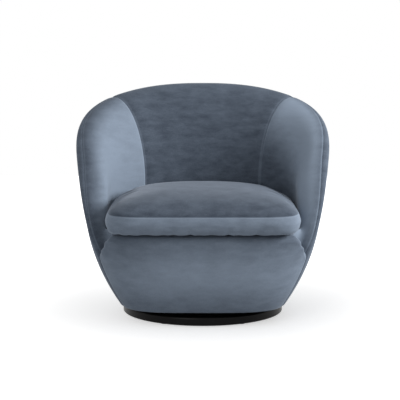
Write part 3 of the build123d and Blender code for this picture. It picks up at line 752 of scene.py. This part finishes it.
@dataclass
class Piece:
    """A visible piece: its name, what it rides on and the solids it stands for."""

    name: str
    body: Body
    stands_for: tuple[str, ...]
    material: bpy.types.Material
    slot: str = "velvet"

    def enter(self, piece: bpy.types.Object) -> bpy.types.Object:
        """Gives an object its material, body and solids.

        Args:
            piece: the object.

        Returns:
            The same object.
        """
        piece.data.materials.append(self.material)
        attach(piece, self.body.value)
        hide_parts(*self.stands_for)
        LOG.info("%s: %d faces", piece.name, len(piece.data.polygons))
        return piece


@dataclass
class Padded(Piece):
    """A padded piece, with how full it is, from 0, slack, to 1, tight."""

    fullness: float = 0.8

    def pad(self, piece: bpy.types.Object) -> bpy.types.Object:
        return self.enter(piece)


@dataclass
class InsidePanel(Padded):
    """Padded inner panel, from the rim seam over the crest and down to the deck."""

    fullness: float = 0.75
    angles: Pair = (-FORM.panel_seam, FORM.panel_seam)
    seam_ends: tuple[bool, bool] = (True, True)
    # Painted light and shade of the panel's nap.
    brushing: Brushing = BACK_NAP_SHADING
    rows: int = 150
    # Points over the roll, down the quarter ellipse and down the upright run.
    steps: tuple[int, int, int] = (14, 74, 26)
    # Rounding where the ellipse's foot meets seat level and the upright's top.
    blends: Pair = (0.012, 0.022)
    # How far the foot goes below the deck and, at least, below the ellipse.
    foot_drops: Pair = (0.060, 0.03)

    def path(self, angle: Array) -> tuple[Array, Array, Array]:
        """Radius and height along the panel: an arc over the roll, a quarter ellipse, an upright run.

        Where the rim lies below seat level, near its point, the ellipse rises and closes the corner.

        Args:
            angle: angles of the sections, in degrees.

        Returns:
            Radii and heights, one row per section, and how far the corner seam's valley holds along them.
        """
        top = FORM.rim(angle)
        radius, centre, _ = FORM.roll_centre(angle, top, FORM.roll)
        least = -soft_least(FORM.inner_drop - top, -FORM.apron_top, self.blends[0])
        upright = soft_least(FORM.upright, least, self.blends[1])
        over, down, below = self.steps
        roll = arc((radius, centre), FORM.roll, spaced(FORM.rim_seam(angle), math.pi / 2, over))
        turn = np.radians(np.linspace(0, 90, down)[1:])
        pad = ellipse((radius, top), (FORM.seat_radius(angle), upright), turn)
        foot = np.minimum(FORM.deck - self.foot_drops[0], upright - self.foot_drops[1])
        run = pad[0][:, -1:], spaced(upright, foot, below)[:, 1:]
        hold = np.concatenate([np.ones(over), 1 - np.sin(turn), np.zeros(below - 1)])
        return *joined(roll, pad, run), hold

    def build(self) -> bpy.types.Object:
        """Builds the panel with a valley along each seam.

        Returns:
            The piece.
        """
        angle = np.linspace(*self.angles, self.rows)
        radius, z, hold = self.path(angle)
        grid = Grid(polar(angle[:, None], radius, z), fan=True)
        across, along = grid.lengths()
        dip = RIM_SEAM.valley(along) * FORM.from_point(angle)[:, None]
        # Painted light and shade of the nap, with a painted highlight along the rim's seam; the panel seams
        # add painted highlights below.
        nap = self.brushing.painted_nap_shade(along) + RIM_SEAM.line(along)
        for sewn, distance in zip(self.seam_ends, (across, across[-1:] - across)):
            if sewn:
                dip = dip + PANEL_SEAM.valley(distance)
                nap = nap + PANEL_SEAM.line(distance)
            else:
                dip = dip + CORNER_SEAM.valley(distance) * hold
        inward = grid.facing(polar(angle[:, None], -1.0, 0.5))
        return self.pad(grid.push(-inward * dip).mesh(self.name, flip=inward < 0, nap=nap))


@dataclass
class OutsidePanel(Padded):
    """Outer panel, from the hem under the board up to the rim seam."""

    fullness: float = 0.9
    angles: Pair = (-FORM.panel_seam, FORM.panel_seam)
    # Painted shade: the outer faces are set darker, as they turn from the light.
    nap: float = 0.4
    rows: int = 130
    # Points up the face and over the roll.
    steps: tuple[int, int] = (84, 24)

    def build(self) -> bpy.types.Object:
        """Builds the panel with a valley along its seams.

        Returns:
            The piece.
        """
        angle = np.linspace(*self.angles, self.rows)
        radius, z = FORM.outside(angle, FORM.rim(angle), FORM.roll, FORM.rim_seam(angle), self.steps)
        grid = Grid(polar(angle[:, None], radius, z), fan=True)
        across, along = grid.lengths()
        dip = RIM_SEAM.valley(along[:, -1:] - along) * FORM.from_point(angle)[:, None]
        dip = dip + CORNER_SEAM.valley(across) + CORNER_SEAM.valley(across[-1:] - across)
        outward = grid.facing(polar(angle[:, None], 1.0, 0.0))
        return self.pad(grid.push(-outward * dip).mesh(self.name, flip=outward < 0, nap=self.nap))


@dataclass
class Apron(Padded):
    """Front apron between the two corner seams, pulled over the seat's front edge."""

    fullness: float = 0.85
    rows: int = 260
    # Points up the face, over the roll, up to seat level and along the tuck under the cushion.
    steps: tuple[int, int, int, int] = (80, 24, 24, 12)
    tuck_depth: float = 0.075
    # Painted light and shade of the nap: its level, its share away from a pale band and its rise in the
    # band, which has a height and a half width. The band is painted light; above it lies painted shadow
    # under the cushion, and painted shade below it.
    nap: float = 0.86
    band_light_share: Pair = (0.42, 0.58)
    lit_band: Pair = (0.165, 0.085)
    # Painted shade: towards the sides it darkens by a share, from a distance from the middle on and over
    # another.
    aside_shade: float = 0.35
    aside: Pair = (0.10, 0.22)
    # Gathers: their height, number per radian and phase, how far they reach from a centre that lies a
    # little above the rim's point, and the smooth space round the centre and along the seams.
    gather_height: float = 0.0024
    gather_count: float = 7.0
    gather_phase: float = 0.6
    gather_reach: float = 0.085
    gather_rise: float = 0.03
    gather_space: float = 0.02
    seam_space: float = 0.022

    def build(self) -> bpy.types.Object:
        """Builds the apron: hem, outer face, roll, a quarter ellipse up to seat level and a flat tuck.

        Its two end sections are those of the inside arms, so that the corner seams are closed.

        Returns:
            The piece.
        """
        angle = np.linspace(FORM.rim_end, 360 - FORM.rim_end, self.rows)
        top, bend = FORM.apron(angle), FORM.apron_bend(angle)
        radius = FORM.roll_centre(angle, top, bend)[0]
        outside = FORM.outside(angle, top, bend, math.pi / 2, self.steps[:2])
        turn = np.radians(np.linspace(0, 90, self.steps[2])[1:])
        inner = FORM.seat_radius(angle)
        rise = ellipse((radius, top), (inner, FORM.apron_top), turn)
        tuck = spaced(inner, radius - self.tuck_depth, self.steps[3])[:, 1:]
        path = joined(outside, rise, (tuck, FORM.apron_top))
        grid = Grid(polar(angle[:, None], *path), fan=True)
        across, _ = grid.lengths()
        edge = np.minimum(across, across[-1:] - across)
        hold = np.concatenate([np.ones(outside[0].shape[1]), 1 - np.sin(turn), np.zeros(tuck.shape[1])])
        gathers = self.gathers(grid.points) * ease(edge / self.seam_space) * hold
        outward = grid.facing(polar(angle[:, None], 1.0, 0.3))
        grid = grid.push(outward * (gathers - CORNER_SEAM.valley(edge) * hold))
        # Painted light and shade: a pale lit band across the middle, darker under the cushion and towards
        # the hem and the sides, with a painted highlight along the corner seams.
        height, half = self.lit_band
        middle = np.exp(-(((grid.points[..., 2] - height) / half) ** 2))
        start, reach = self.aside
        aside = ease((np.abs(grid.points[..., 0]) - start) / reach)
        nap = self.nap * (self.band_light_share[0] + self.band_light_share[1] * middle) * (1 - self.aside_shade * aside)
        nap = nap + CORNER_SEAM.line(edge) * hold
        return self.pad(grid.mesh(self.name, flip=outward < 0, nap=nap))

    def gathers(self, points: Array) -> Array:
        """Height of the small folds that fan out from each top corner and fade down the apron.

        Each fold is a cosine of the bearing from the corner, faded with the distance from it.

        Args:
            points: points of the apron.

        Returns:
            Outward push in metres.
        """
        total = np.zeros(points.shape[:2])
        point = FORM.outer_radius(FORM.rim_end, FORM.rim_end_z)
        corner = polar(FORM.rim_end, point, FORM.rim_end_z + self.gather_rise)
        for side in Side:
            offset = points - corner * np.array([side.value, 1.0, 1.0])
            inward = -offset[..., 0] * side.value
            distance = np.linalg.norm(offset, axis=-1)
            bearing = np.arctan2(-offset[..., 2], np.maximum(inward, 1e-4))
            fade = np.exp(-((distance / self.gather_reach) ** 2)) * ease(distance / self.gather_space)
            waves = np.cos(self.gather_count * bearing + self.gather_phase * side.value)
            total += self.gather_height * waves * fade
        return total


@dataclass
class SeatCushion(Padded):
    """Loose seat cushion: boxed border and crowned top, filled by a cloth simulation."""

    fullness: float = 0.7
    # Half width and depths behind and in front of the axis, and squareness behind and in front of it.
    size: Triple = (0.301, 0.207, 0.377)
    powers: Pair = (2.2, 9.0)
    bottom: float = 0.3031
    border: float = 0.057
    crown: float = 0.055
    dome_powers: Pair = (3.0, 0.62)
    # Inset of the border's foot and of its top seam; the top is drawn in from one share of the border's
    # height on, over another.
    foot_inset: float = 0.016
    seam_inset: float = 0.005
    drawn: Pair = (0.55, 0.45)
    # Share of the outline at the two small holes, which are closed last, and at the bottom's edge.
    hole: float = 0.03
    bottom_edge: float = 0.97
    # Points across the bottom, up the border and over the dome, where they crowd towards the seam.
    steps: tuple[int, int, int] = (26, 24, 44)
    crowding: float = 1.5
    columns: int = 240
    # Painted light and shade of the nap: the border's level, the top's front, painted dark, and its painted
    # lift to the rear from a depth on and over another.
    border_light: float = 0.58
    top_light: Pair = (0.10, 0.35)
    rear: Pair = (0.03, 0.17)
    # Puckers: waves round the outline, depth, height above the bottom and half height.
    pucker_waves: tuple[int, ...] = (37, 59, 83)
    pucker_depth: float = 0.0016
    pucker_band: Pair = (0.004, 0.016)
    # Rows that the simulation holds under the seat, its frames, the most that a point may move and the
    # passes that smooth the movement round the outline.
    held_rows: int = 28
    frames: int = 20
    cap: float = 0.005
    passes: int = 3

    def profile(self) -> tuple[Array, Array, Array, int]:
        """Rows of the cushion from the middle of the bottom, up the border, to the middle of the top.

        The top is a dome of height (1 - s^3)^0.62, where s is the share of the outline's radius.

        Returns:
            Height, inset from the outline, share of the outline, and the number of the seam's row.
        """
        share = np.linspace(self.hole, self.bottom_edge, self.steps[0])
        under = np.stack([np.full_like(share, self.bottom), np.full_like(share, self.foot_inset), share])
        turn = np.linspace(0.0, 1.0, self.steps[1])
        belly = self.foot_inset * (1 - np.sin(np.pi * np.clip(turn, 0, 0.5))) ** 2
        belly = belly + self.seam_inset * ease((turn - self.drawn[0]) / self.drawn[1])
        side = np.stack([self.bottom + self.border * turn, belly, np.ones_like(turn)])
        fall = 1 - np.linspace(0.0, 1.0, self.steps[2])[1:] ** self.crowding * (1 - self.hole)
        rise = (1 - fall ** self.dome_powers[0]) ** self.dome_powers[1]
        top = self.bottom + self.border + self.crown * rise
        dome = np.stack([top, np.full_like(fall, self.seam_inset), fall])
        rows = np.concatenate([under, side, dome], axis=1)
        return rows[0], rows[1], rows[2], under.shape[1] + side.shape[1] - 1

    def build(self) -> bpy.types.Object:
        """Builds the cushion, fills it and sews its seam.

        Returns:
            The piece.
        """
        z, inset, share, seam = self.profile()
        angle = np.linspace(0, 360, self.columns, endpoint=False)
        outline = hoop(angle, *self.size, self.powers)[:, None]
        points = polar(angle[:, None], (outline - inset) * share, z)
        points = self.fill(points, seam)
        grid = Grid(points, wrap=True)
        _, along = grid.lengths()
        from_seam = along - along[:, seam : seam + 1]
        outward = grid.facing(polar(angle[:, None], 1.0, 0.0))
        dip = CUSHION_SEAM.valley(from_seam) + self.puckers(angle, grid.points[..., 2], share)
        grid = grid.push(-outward * dip)
        # Painted light and shade: the top darker at its front and paler to the rear, the border paler, and
        # a painted highlight along the seam.
        rear = ease((grid.points[..., 1] - self.rear[0]) / self.rear[1])
        on_top = np.arange(len(z))[None] > seam
        nap = np.where(on_top, self.top_light[0] + self.top_light[1] * rear, self.border_light)
        piece = grid.mesh(self.name, flip=outward < 0, nap=nap + CUSHION_SEAM.line(from_seam))
        self.close(piece)
        smooth = piece.modifiers.new("smooth", "SUBSURF")
        smooth.levels = smooth.render_levels = 1
        smooth.use_limit_surface = False
        return self.pad(piece)

    def puckers(self, angle: Array, z: Array, share: Array) -> Array:
        """Depth of the small puckers along the border's lower seam.

        They are the positive part of three cosines of the angle with unlike periods, fading up the border.

        Args:
            angle: angles of the columns, in degrees.
            z: heights of the points.
            share: share of the outline of each row.

        Returns:
            Inward push in metres.
        """
        waves = sum(np.cos(np.radians(angle) * n + n) for n in self.pucker_waves)
        height, half = self.pucker_band
        fade = np.exp(-(((z - self.bottom - height) / half) ** 2)) * (share >= self.bottom_edge)
        return self.pucker_depth * np.maximum(waves, 0.0)[:, None] * fade

    def close(self, piece: bpy.types.Object) -> None:
        """Closes the small holes at the middle of the top and bottom.

        Args:
            piece: the open object.
        """
        work = bmesh.new()
        work.from_mesh(piece.data)
        bmesh.ops.holes_fill(work, edges=[e for e in work.edges if e.is_boundary], sides=0)
        for face in work.faces:
            face.smooth = True
        work.to_mesh(piece.data)
        work.free()

    def fill(self, points: Array, seam: int) -> Array:
        """Swells the cover by cloth pressure, held along the seam and under the seat.

        Args:
            points: points of the slack cover.
            seam: number of the seam's row.

        Returns:
            Points of the filled cover.
        """
        slack = Grid(points, wrap=True).mesh("cushion_slack", flip=True)
        held = np.zeros(points.shape[:2], bool)
        held[:, seam] = held[:, : self.held_rows] = True
        group = slack.vertex_groups.new(name="held")
        group.add(np.flatnonzero(held).tolist(), 1.0, "REPLACE")
        cloth = slack.modifiers.new("cloth", "CLOTH")
        settings = cloth.settings
        settings.quality = 5
        settings.mass = 0.25
        settings.tension_stiffness = settings.compression_stiffness = 12.0
        settings.shear_stiffness = 4.0
        settings.bending_stiffness = 0.4
        settings.shrink_min = -0.008
        settings.use_pressure = True
        settings.uniform_pressure_force = 2.5
        settings.vertex_group_mass = "held"
        settings.effector_weights.gravity = 0.0
        cloth.collision_settings.use_collision = False
        scene = bpy.context.scene
        for frame in range(1, self.frames + 1):
            scene.frame_set(frame)
        state = slack.evaluated_get(bpy.context.evaluated_depsgraph_get())
        flat = np.zeros(points.size)
        state.data.vertices.foreach_get("co", flat)
        moved = flat.reshape(points.shape) - points
        length = np.linalg.norm(moved, axis=-1, keepdims=True)
        moved *= self.cap * np.tanh(length / self.cap) / np.maximum(length, 1e-9)
        for _ in range(self.passes):
            moved = 0.5 * moved + 0.25 * (np.roll(moved, 1, 0) + np.roll(moved, -1, 0))
        scene.frame_set(1)
        bpy.data.objects.remove(slack)
        return points + moved


@dataclass
class Deck(Padded):
    """Lined deck under the loose cushion: a thin pad, slightly crowned."""

    rings: int = 40
    columns: int = 180
    # Share of the outline at the innermost ring, and the gap between the edge and the wall.
    middle: float = 0.01
    gap: float = 0.003
    # The crown lies just under deck level and falls by a power of the share of the outline.
    sink: float = 0.0005
    fall: float = 0.003
    fall_power: float = 6.0
    # Depths of the two rings that turn the edge down.
    edge_drops: Pair = (0.022, 0.048)

    def build(self) -> bpy.types.Object:
        """Builds the deck as rings from its middle to its turned-down edge.

        Returns:
            The piece.
        """
        angle = np.linspace(0, 360, self.columns, endpoint=False)
        reach = FORM.seat_radius(angle)[:, None] - self.gap
        share = np.concatenate([np.linspace(self.middle, 1.0, self.rings), np.ones(len(self.edge_drops))])
        z = FORM.deck - self.sink - self.fall * share**self.fall_power
        z[-len(self.edge_drops) :] = [FORM.deck - drop for drop in self.edge_drops]
        grid = Grid(polar(angle[:, None], reach * share, z), wrap=True)
        return self.pad(grid.mesh(self.name, flip=True))


@dataclass
class DustCover(Piece):
    """Black lining stapled under the seat, from the swivel's opening to the hem."""

    columns: int = 200
    rings: int = 16
    opening: float = 0.158
    hem_gap: float = 0.026
    level: float = 0.0453
    # Sag between its edges, with a slight ripple of so many waves round the opening.
    sag: float = 0.0006
    ripple: float = 0.4
    waves: int = 9

    def build(self) -> bpy.types.Object:
        """Builds the lining as a ring of cloth with a slight sag, a half sine from edge to edge.

        Returns:
            The piece.
        """
        angle = np.linspace(0, 360, self.columns, endpoint=False)
        edge = FORM.outer_radius(angle, np.full_like(angle, FORM.bottom)) - self.hem_gap
        share = np.linspace(0.0, 1.0, self.rings)
        radius = self.opening + (edge[:, None] - self.opening) * share
        ripple = 1 + self.ripple * np.sin(np.radians(angle[:, None] * self.waves))
        z = self.level - self.sag * np.sin(np.pi * share) * ripple
        points = polar(angle[:, None], radius, z)
        piece = self.enter(Grid(points, wrap=True).mesh(self.name))
        return piece


# Studio


@dataclass(frozen=True)
class Lamp:
    """A soft square lamp: its place, the point that it faces, the side of its square and its power."""

    name: str
    place: Triple
    aim: Triple
    size: float
    watts: float

    def build(self) -> bpy.types.Object:
        """Adds the lamp.

        Returns:
            The lamp.
        """
        data = bpy.data.lights.new(self.name, "AREA")
        data.size = self.size
        data.energy = self.watts
        lamp = bpy.data.objects.new(self.name, data)
        lamp.location = self.place
        x, y, z = np.array(self.aim) - np.array(self.place)
        lean = math.atan2(math.hypot(x, y), -z)
        lamp.rotation_euler = (lean, 0.0, math.atan2(x, -y) + math.pi)
        bpy.context.scene.collection.objects.link(lamp)
        return lamp


@dataclass(frozen=True)
class Studio:
    """Camera, soft lights and a pale floor on a white ground."""

    eye: Triple = (-0.0091, -4.279, 0.9177)
    tilt: float = 7.365
    lens: float = 118.78
    sensor: float = 36.0
    fill: float = 0.55
    floor_half: float = 4.0
    floor_tones: Pair = (0.86, 0.90)
    # The floor's glow rises from one strength to another between two distances from the swivel axis.
    glow: Pair = (0.52, 1.0)
    pool: Pair = (0.35, 1.3)
    key: Lamp = Lamp("key", (3.3, -1.1, 1.9), (0.0, 0.0, 0.4), 1.3, 178.0)
    others: tuple[Lamp, ...] = (
        Lamp("top", (0.3, -0.6, 3.4), (0.0, 0.0, 0.3), 2.4, 6.0),
        Lamp("front", (-1.7, -3.7, 1.4), (0.0, 0.0, 0.3), 2.0, 34.0),
    )

    def camera(self) -> None:
        """Adds the camera, looking along +Y and tilted down to the chair."""
        data = bpy.data.cameras.new("camera")
        data.lens = self.lens
        data.sensor_width = self.sensor
        camera = bpy.data.objects.new("camera", data)
        camera.location = self.eye
        camera.rotation_euler = (math.radians(90 - self.tilt), 0.0, 0.0)
        bpy.context.scene.collection.objects.link(camera)
        bpy.context.scene.camera = camera

    def seen(self, tree: bpy.types.NodeTree) -> bpy.types.NodeSocket:
        """Adds a switch that is 1 for rays that show the ground and 0 for rays that light the object.

        Args:
            tree: node tree.

        Returns:
            The largest of the camera, glossy and transmission ray flags.
        """
        rays = add_node(tree, "LightPath").outputs
        flag = rays["Is Camera Ray"]
        for ray in ("Is Glossy Ray", "Is Transmission Ray"):
            flag = add_node(tree, "Math", {}, {0: flag, 1: rays[ray]}, operation="MAXIMUM").outputs[0]
        return flag

    def floor(self) -> bpy.types.Object:
        """Adds the pale floor.

        Returns:
            The floor.
        """
        line = np.linspace(-self.floor_half, self.floor_half, 3)
        x, y = np.meshgrid(line, line, indexing="ij")
        floor = Grid(np.stack([x, y, np.zeros_like(x)], axis=-1)).mesh("floor")
        material, tree, output = new_material("floor_white_paper")
        place = add_node(tree, "TexCoord").outputs["Object"]
        noise = add_node(tree, "TexNoise", {"Scale": 3.0}, {"Vector": place}).outputs[0]
        dark, light = self.floor_tones
        tone = add_node(tree, "MapRange", {"To Min": dark, "To Max": light}, {"Value": noise})
        paper = add_node(tree, "BsdfDiffuse", {}, {"Color": tone.outputs[0]})
        away = add_node(tree, "VectorMath", {}, {0: place}, operation="LENGTH").outputs["Value"]
        limits = dict(zip(("From Min", "From Max", "To Min", "To Max"), self.pool + self.glow))
        rise = add_node(tree, "MapRange", limits, {"Value": away}, interpolation_type="SMOOTHSTEP")
        shown = add_node(tree, "Math", {}, {0: rise.outputs[0], 1: self.seen(tree)}, operation="MULTIPLY")
        glow = add_node(tree, "Emission", {}, {"Strength": shown.outputs[0]})
        both = add_node(tree, "AddShader", {}, {0: paper.outputs[0], 1: glow.outputs[0]})
        tree.links.new(both.outputs[0], output.inputs["Surface"])
        floor.data.materials.append(material)
        return floor

    def spare(self, lamp: bpy.types.Object, floor: bpy.types.Object) -> None:
        """Keeps a lamp off the floor, so that only the soft lamps cast a shadow there.

        Args:
            lamp: the lamp.
            floor: the floor.
        """
        spared = bpy.data.collections.new(f"{lamp.name}_spares")
        spared.objects.link(floor)
        spared.collection_objects[0].light_linking.link_state = "EXCLUDE"
        lamp.light_linking.receiver_collection = spared

    def world(self) -> None:
        """Sets a white ground for the rays that show it and a plain soft fill for the others."""
        world = bpy.data.worlds.new("studio")
        world.use_nodes = True
        tree = world.node_tree
        tree.nodes.clear()
        fill = add_node(tree, "Background", {"Color": (1, 1, 1, 1), "Strength": self.fill})
        white = add_node(tree, "Background", {"Color": (1, 1, 1, 1), "Strength": 1.0})
        mix = add_node(tree, "MixShader", {}, {0: self.seen(tree), 1: fill.outputs[0], 2: white.outputs[0]})
        output = add_node(tree, "OutputWorld", {}, {"Surface": mix.outputs[0]})
        output.is_active_output = True
        bpy.context.scene.world = world

    def build(self) -> None:
        """Builds the whole studio."""
        bpy.context.scene.view_settings.view_transform = "Standard"
        self.camera()
        floor = self.floor()
        self.world()
        self.spare(self.key.build(), floor)
        for lamp in self.others:
            lamp.build()


# Chair


@dataclass
class Chair:
    """The whole chair: dressed solids and the soft pieces that stand for the covered ones."""

    made: dict[str, bpy.types.Material] = field(default_factory=dict)

    def material(self, finish: Velvet | Plain) -> bpy.types.Material:
        """Material of a finish, built when it is first asked for.

        Args:
            finish: the finish.

        Returns:
            The material.
        """
        if finish.name not in self.made:
            self.made[finish.name] = finish.build()
        return self.made[finish.name]

    def dress_solids(self, nodes: dict[str, bpy.types.Object]) -> None:
        """Gives each solid its material; those that soft pieces stand for do not show.

        Args:
            nodes: solids by name.
        """
        finishes: list[tuple[Plain, Callable[[str], bool]]] = [
            (LACQUER, lambda n: n == "plinth"),
            (NYLON, lambda n: n in ("floor_glides", "pivot_bush")),
            (BLACK_STEEL, lambda n: n.startswith("swivel_") and n.endswith("_plate")),
            (STEEL, lambda n: n.startswith(("swivel_b", "ball_", "pivot_", "plinth_screws", "tee_"))),
            (WEBBING, lambda n: n.startswith("webbing")),
            (FOAM, lambda n: "foam" in n or "wadding" in n or n in ("deck_pad", "cushion_core")),
            (LINING, lambda n: n in ("deck_cover", "dust_cover")),
            (PLYWOOD, lambda n: True),
        ]
        for name, node in nodes.items():
            node.data.materials.clear()
            node.data.materials.append(self.material(next(f for f, fits in finishes if fits(name))))
        LOG.info("solids dressed: %d", len(nodes))

    def build_wall(self) -> None:
        """Builds the inner and outer panels of the tub's wall, first the back's and then each arm's."""
        velvet = self.material(VELVET)
        solids = ("inside_back_cover", "inside_back_foam")
        InsidePanel("inside_back", Body.SEAT, solids, velvet).build()
        solids = ("outside_back_cover", "outside_back_wadding")
        OutsidePanel("outside_back", Body.SEAT, solids, velvet).build()
        for side in Side:
            ends = tuple(sorted((side.value * FORM.panel_seam, side.value * FORM.rim_end)))
            solids = (f"inside_arm_cover_{side.word}", f"inside_arm_foam_{side.word}")
            InsidePanel(
                f"inside_arm_{side.word}",
                Body.SEAT,
                solids,
                velvet,
                angles=ends,
                seam_ends=(side is Side.RIGHT, side is Side.LEFT),
                brushing=ARM_NAP_SHADING[side],
                rows=170,
            ).build()
            name = f"outside_arm_{side.word}"
            solids = (f"outside_arm_cover_{side.word}", f"outside_arm_wadding_{side.word}")
            # The outer arms are painted darker than the outer back: painted shade.
            OutsidePanel(name, Body.SEAT, solids, velvet, angles=ends, nap=0.2, rows=150).build()

    def build(self, nodes: dict[str, bpy.types.Object]) -> None:
        """Builds every piece in order.

        Args:
            nodes: solids by name.
        """
        self.dress_solids(nodes)
        self.build_wall()
        velvet, lining = self.material(VELVET), self.material(LINING)
        Apron("apron", Body.SEAT, ("apron_cover", "apron_foam"), velvet).build()
        Deck("deck", Body.SEAT, ("deck_cover", "deck_pad"), lining, slot="lining").build()
        DustCover("dust_lining", Body.SEAT, ("dust_cover",), lining, slot="lining").build()
        covers = ("cushion_top", "cushion_border", "cushion_bottom", "cushion_core")
        SeatCushion("seat_cushion", Body.CUSHION, covers, velvet).build()


def main() -> None:
    """Loads the frame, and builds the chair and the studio."""
    logging.basicConfig(level=logging.INFO, format="%(message)s")
    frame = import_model()
    Chair().build(frame["nodes"])
    Studio().build()


if __name__ == "__main__":
    main()
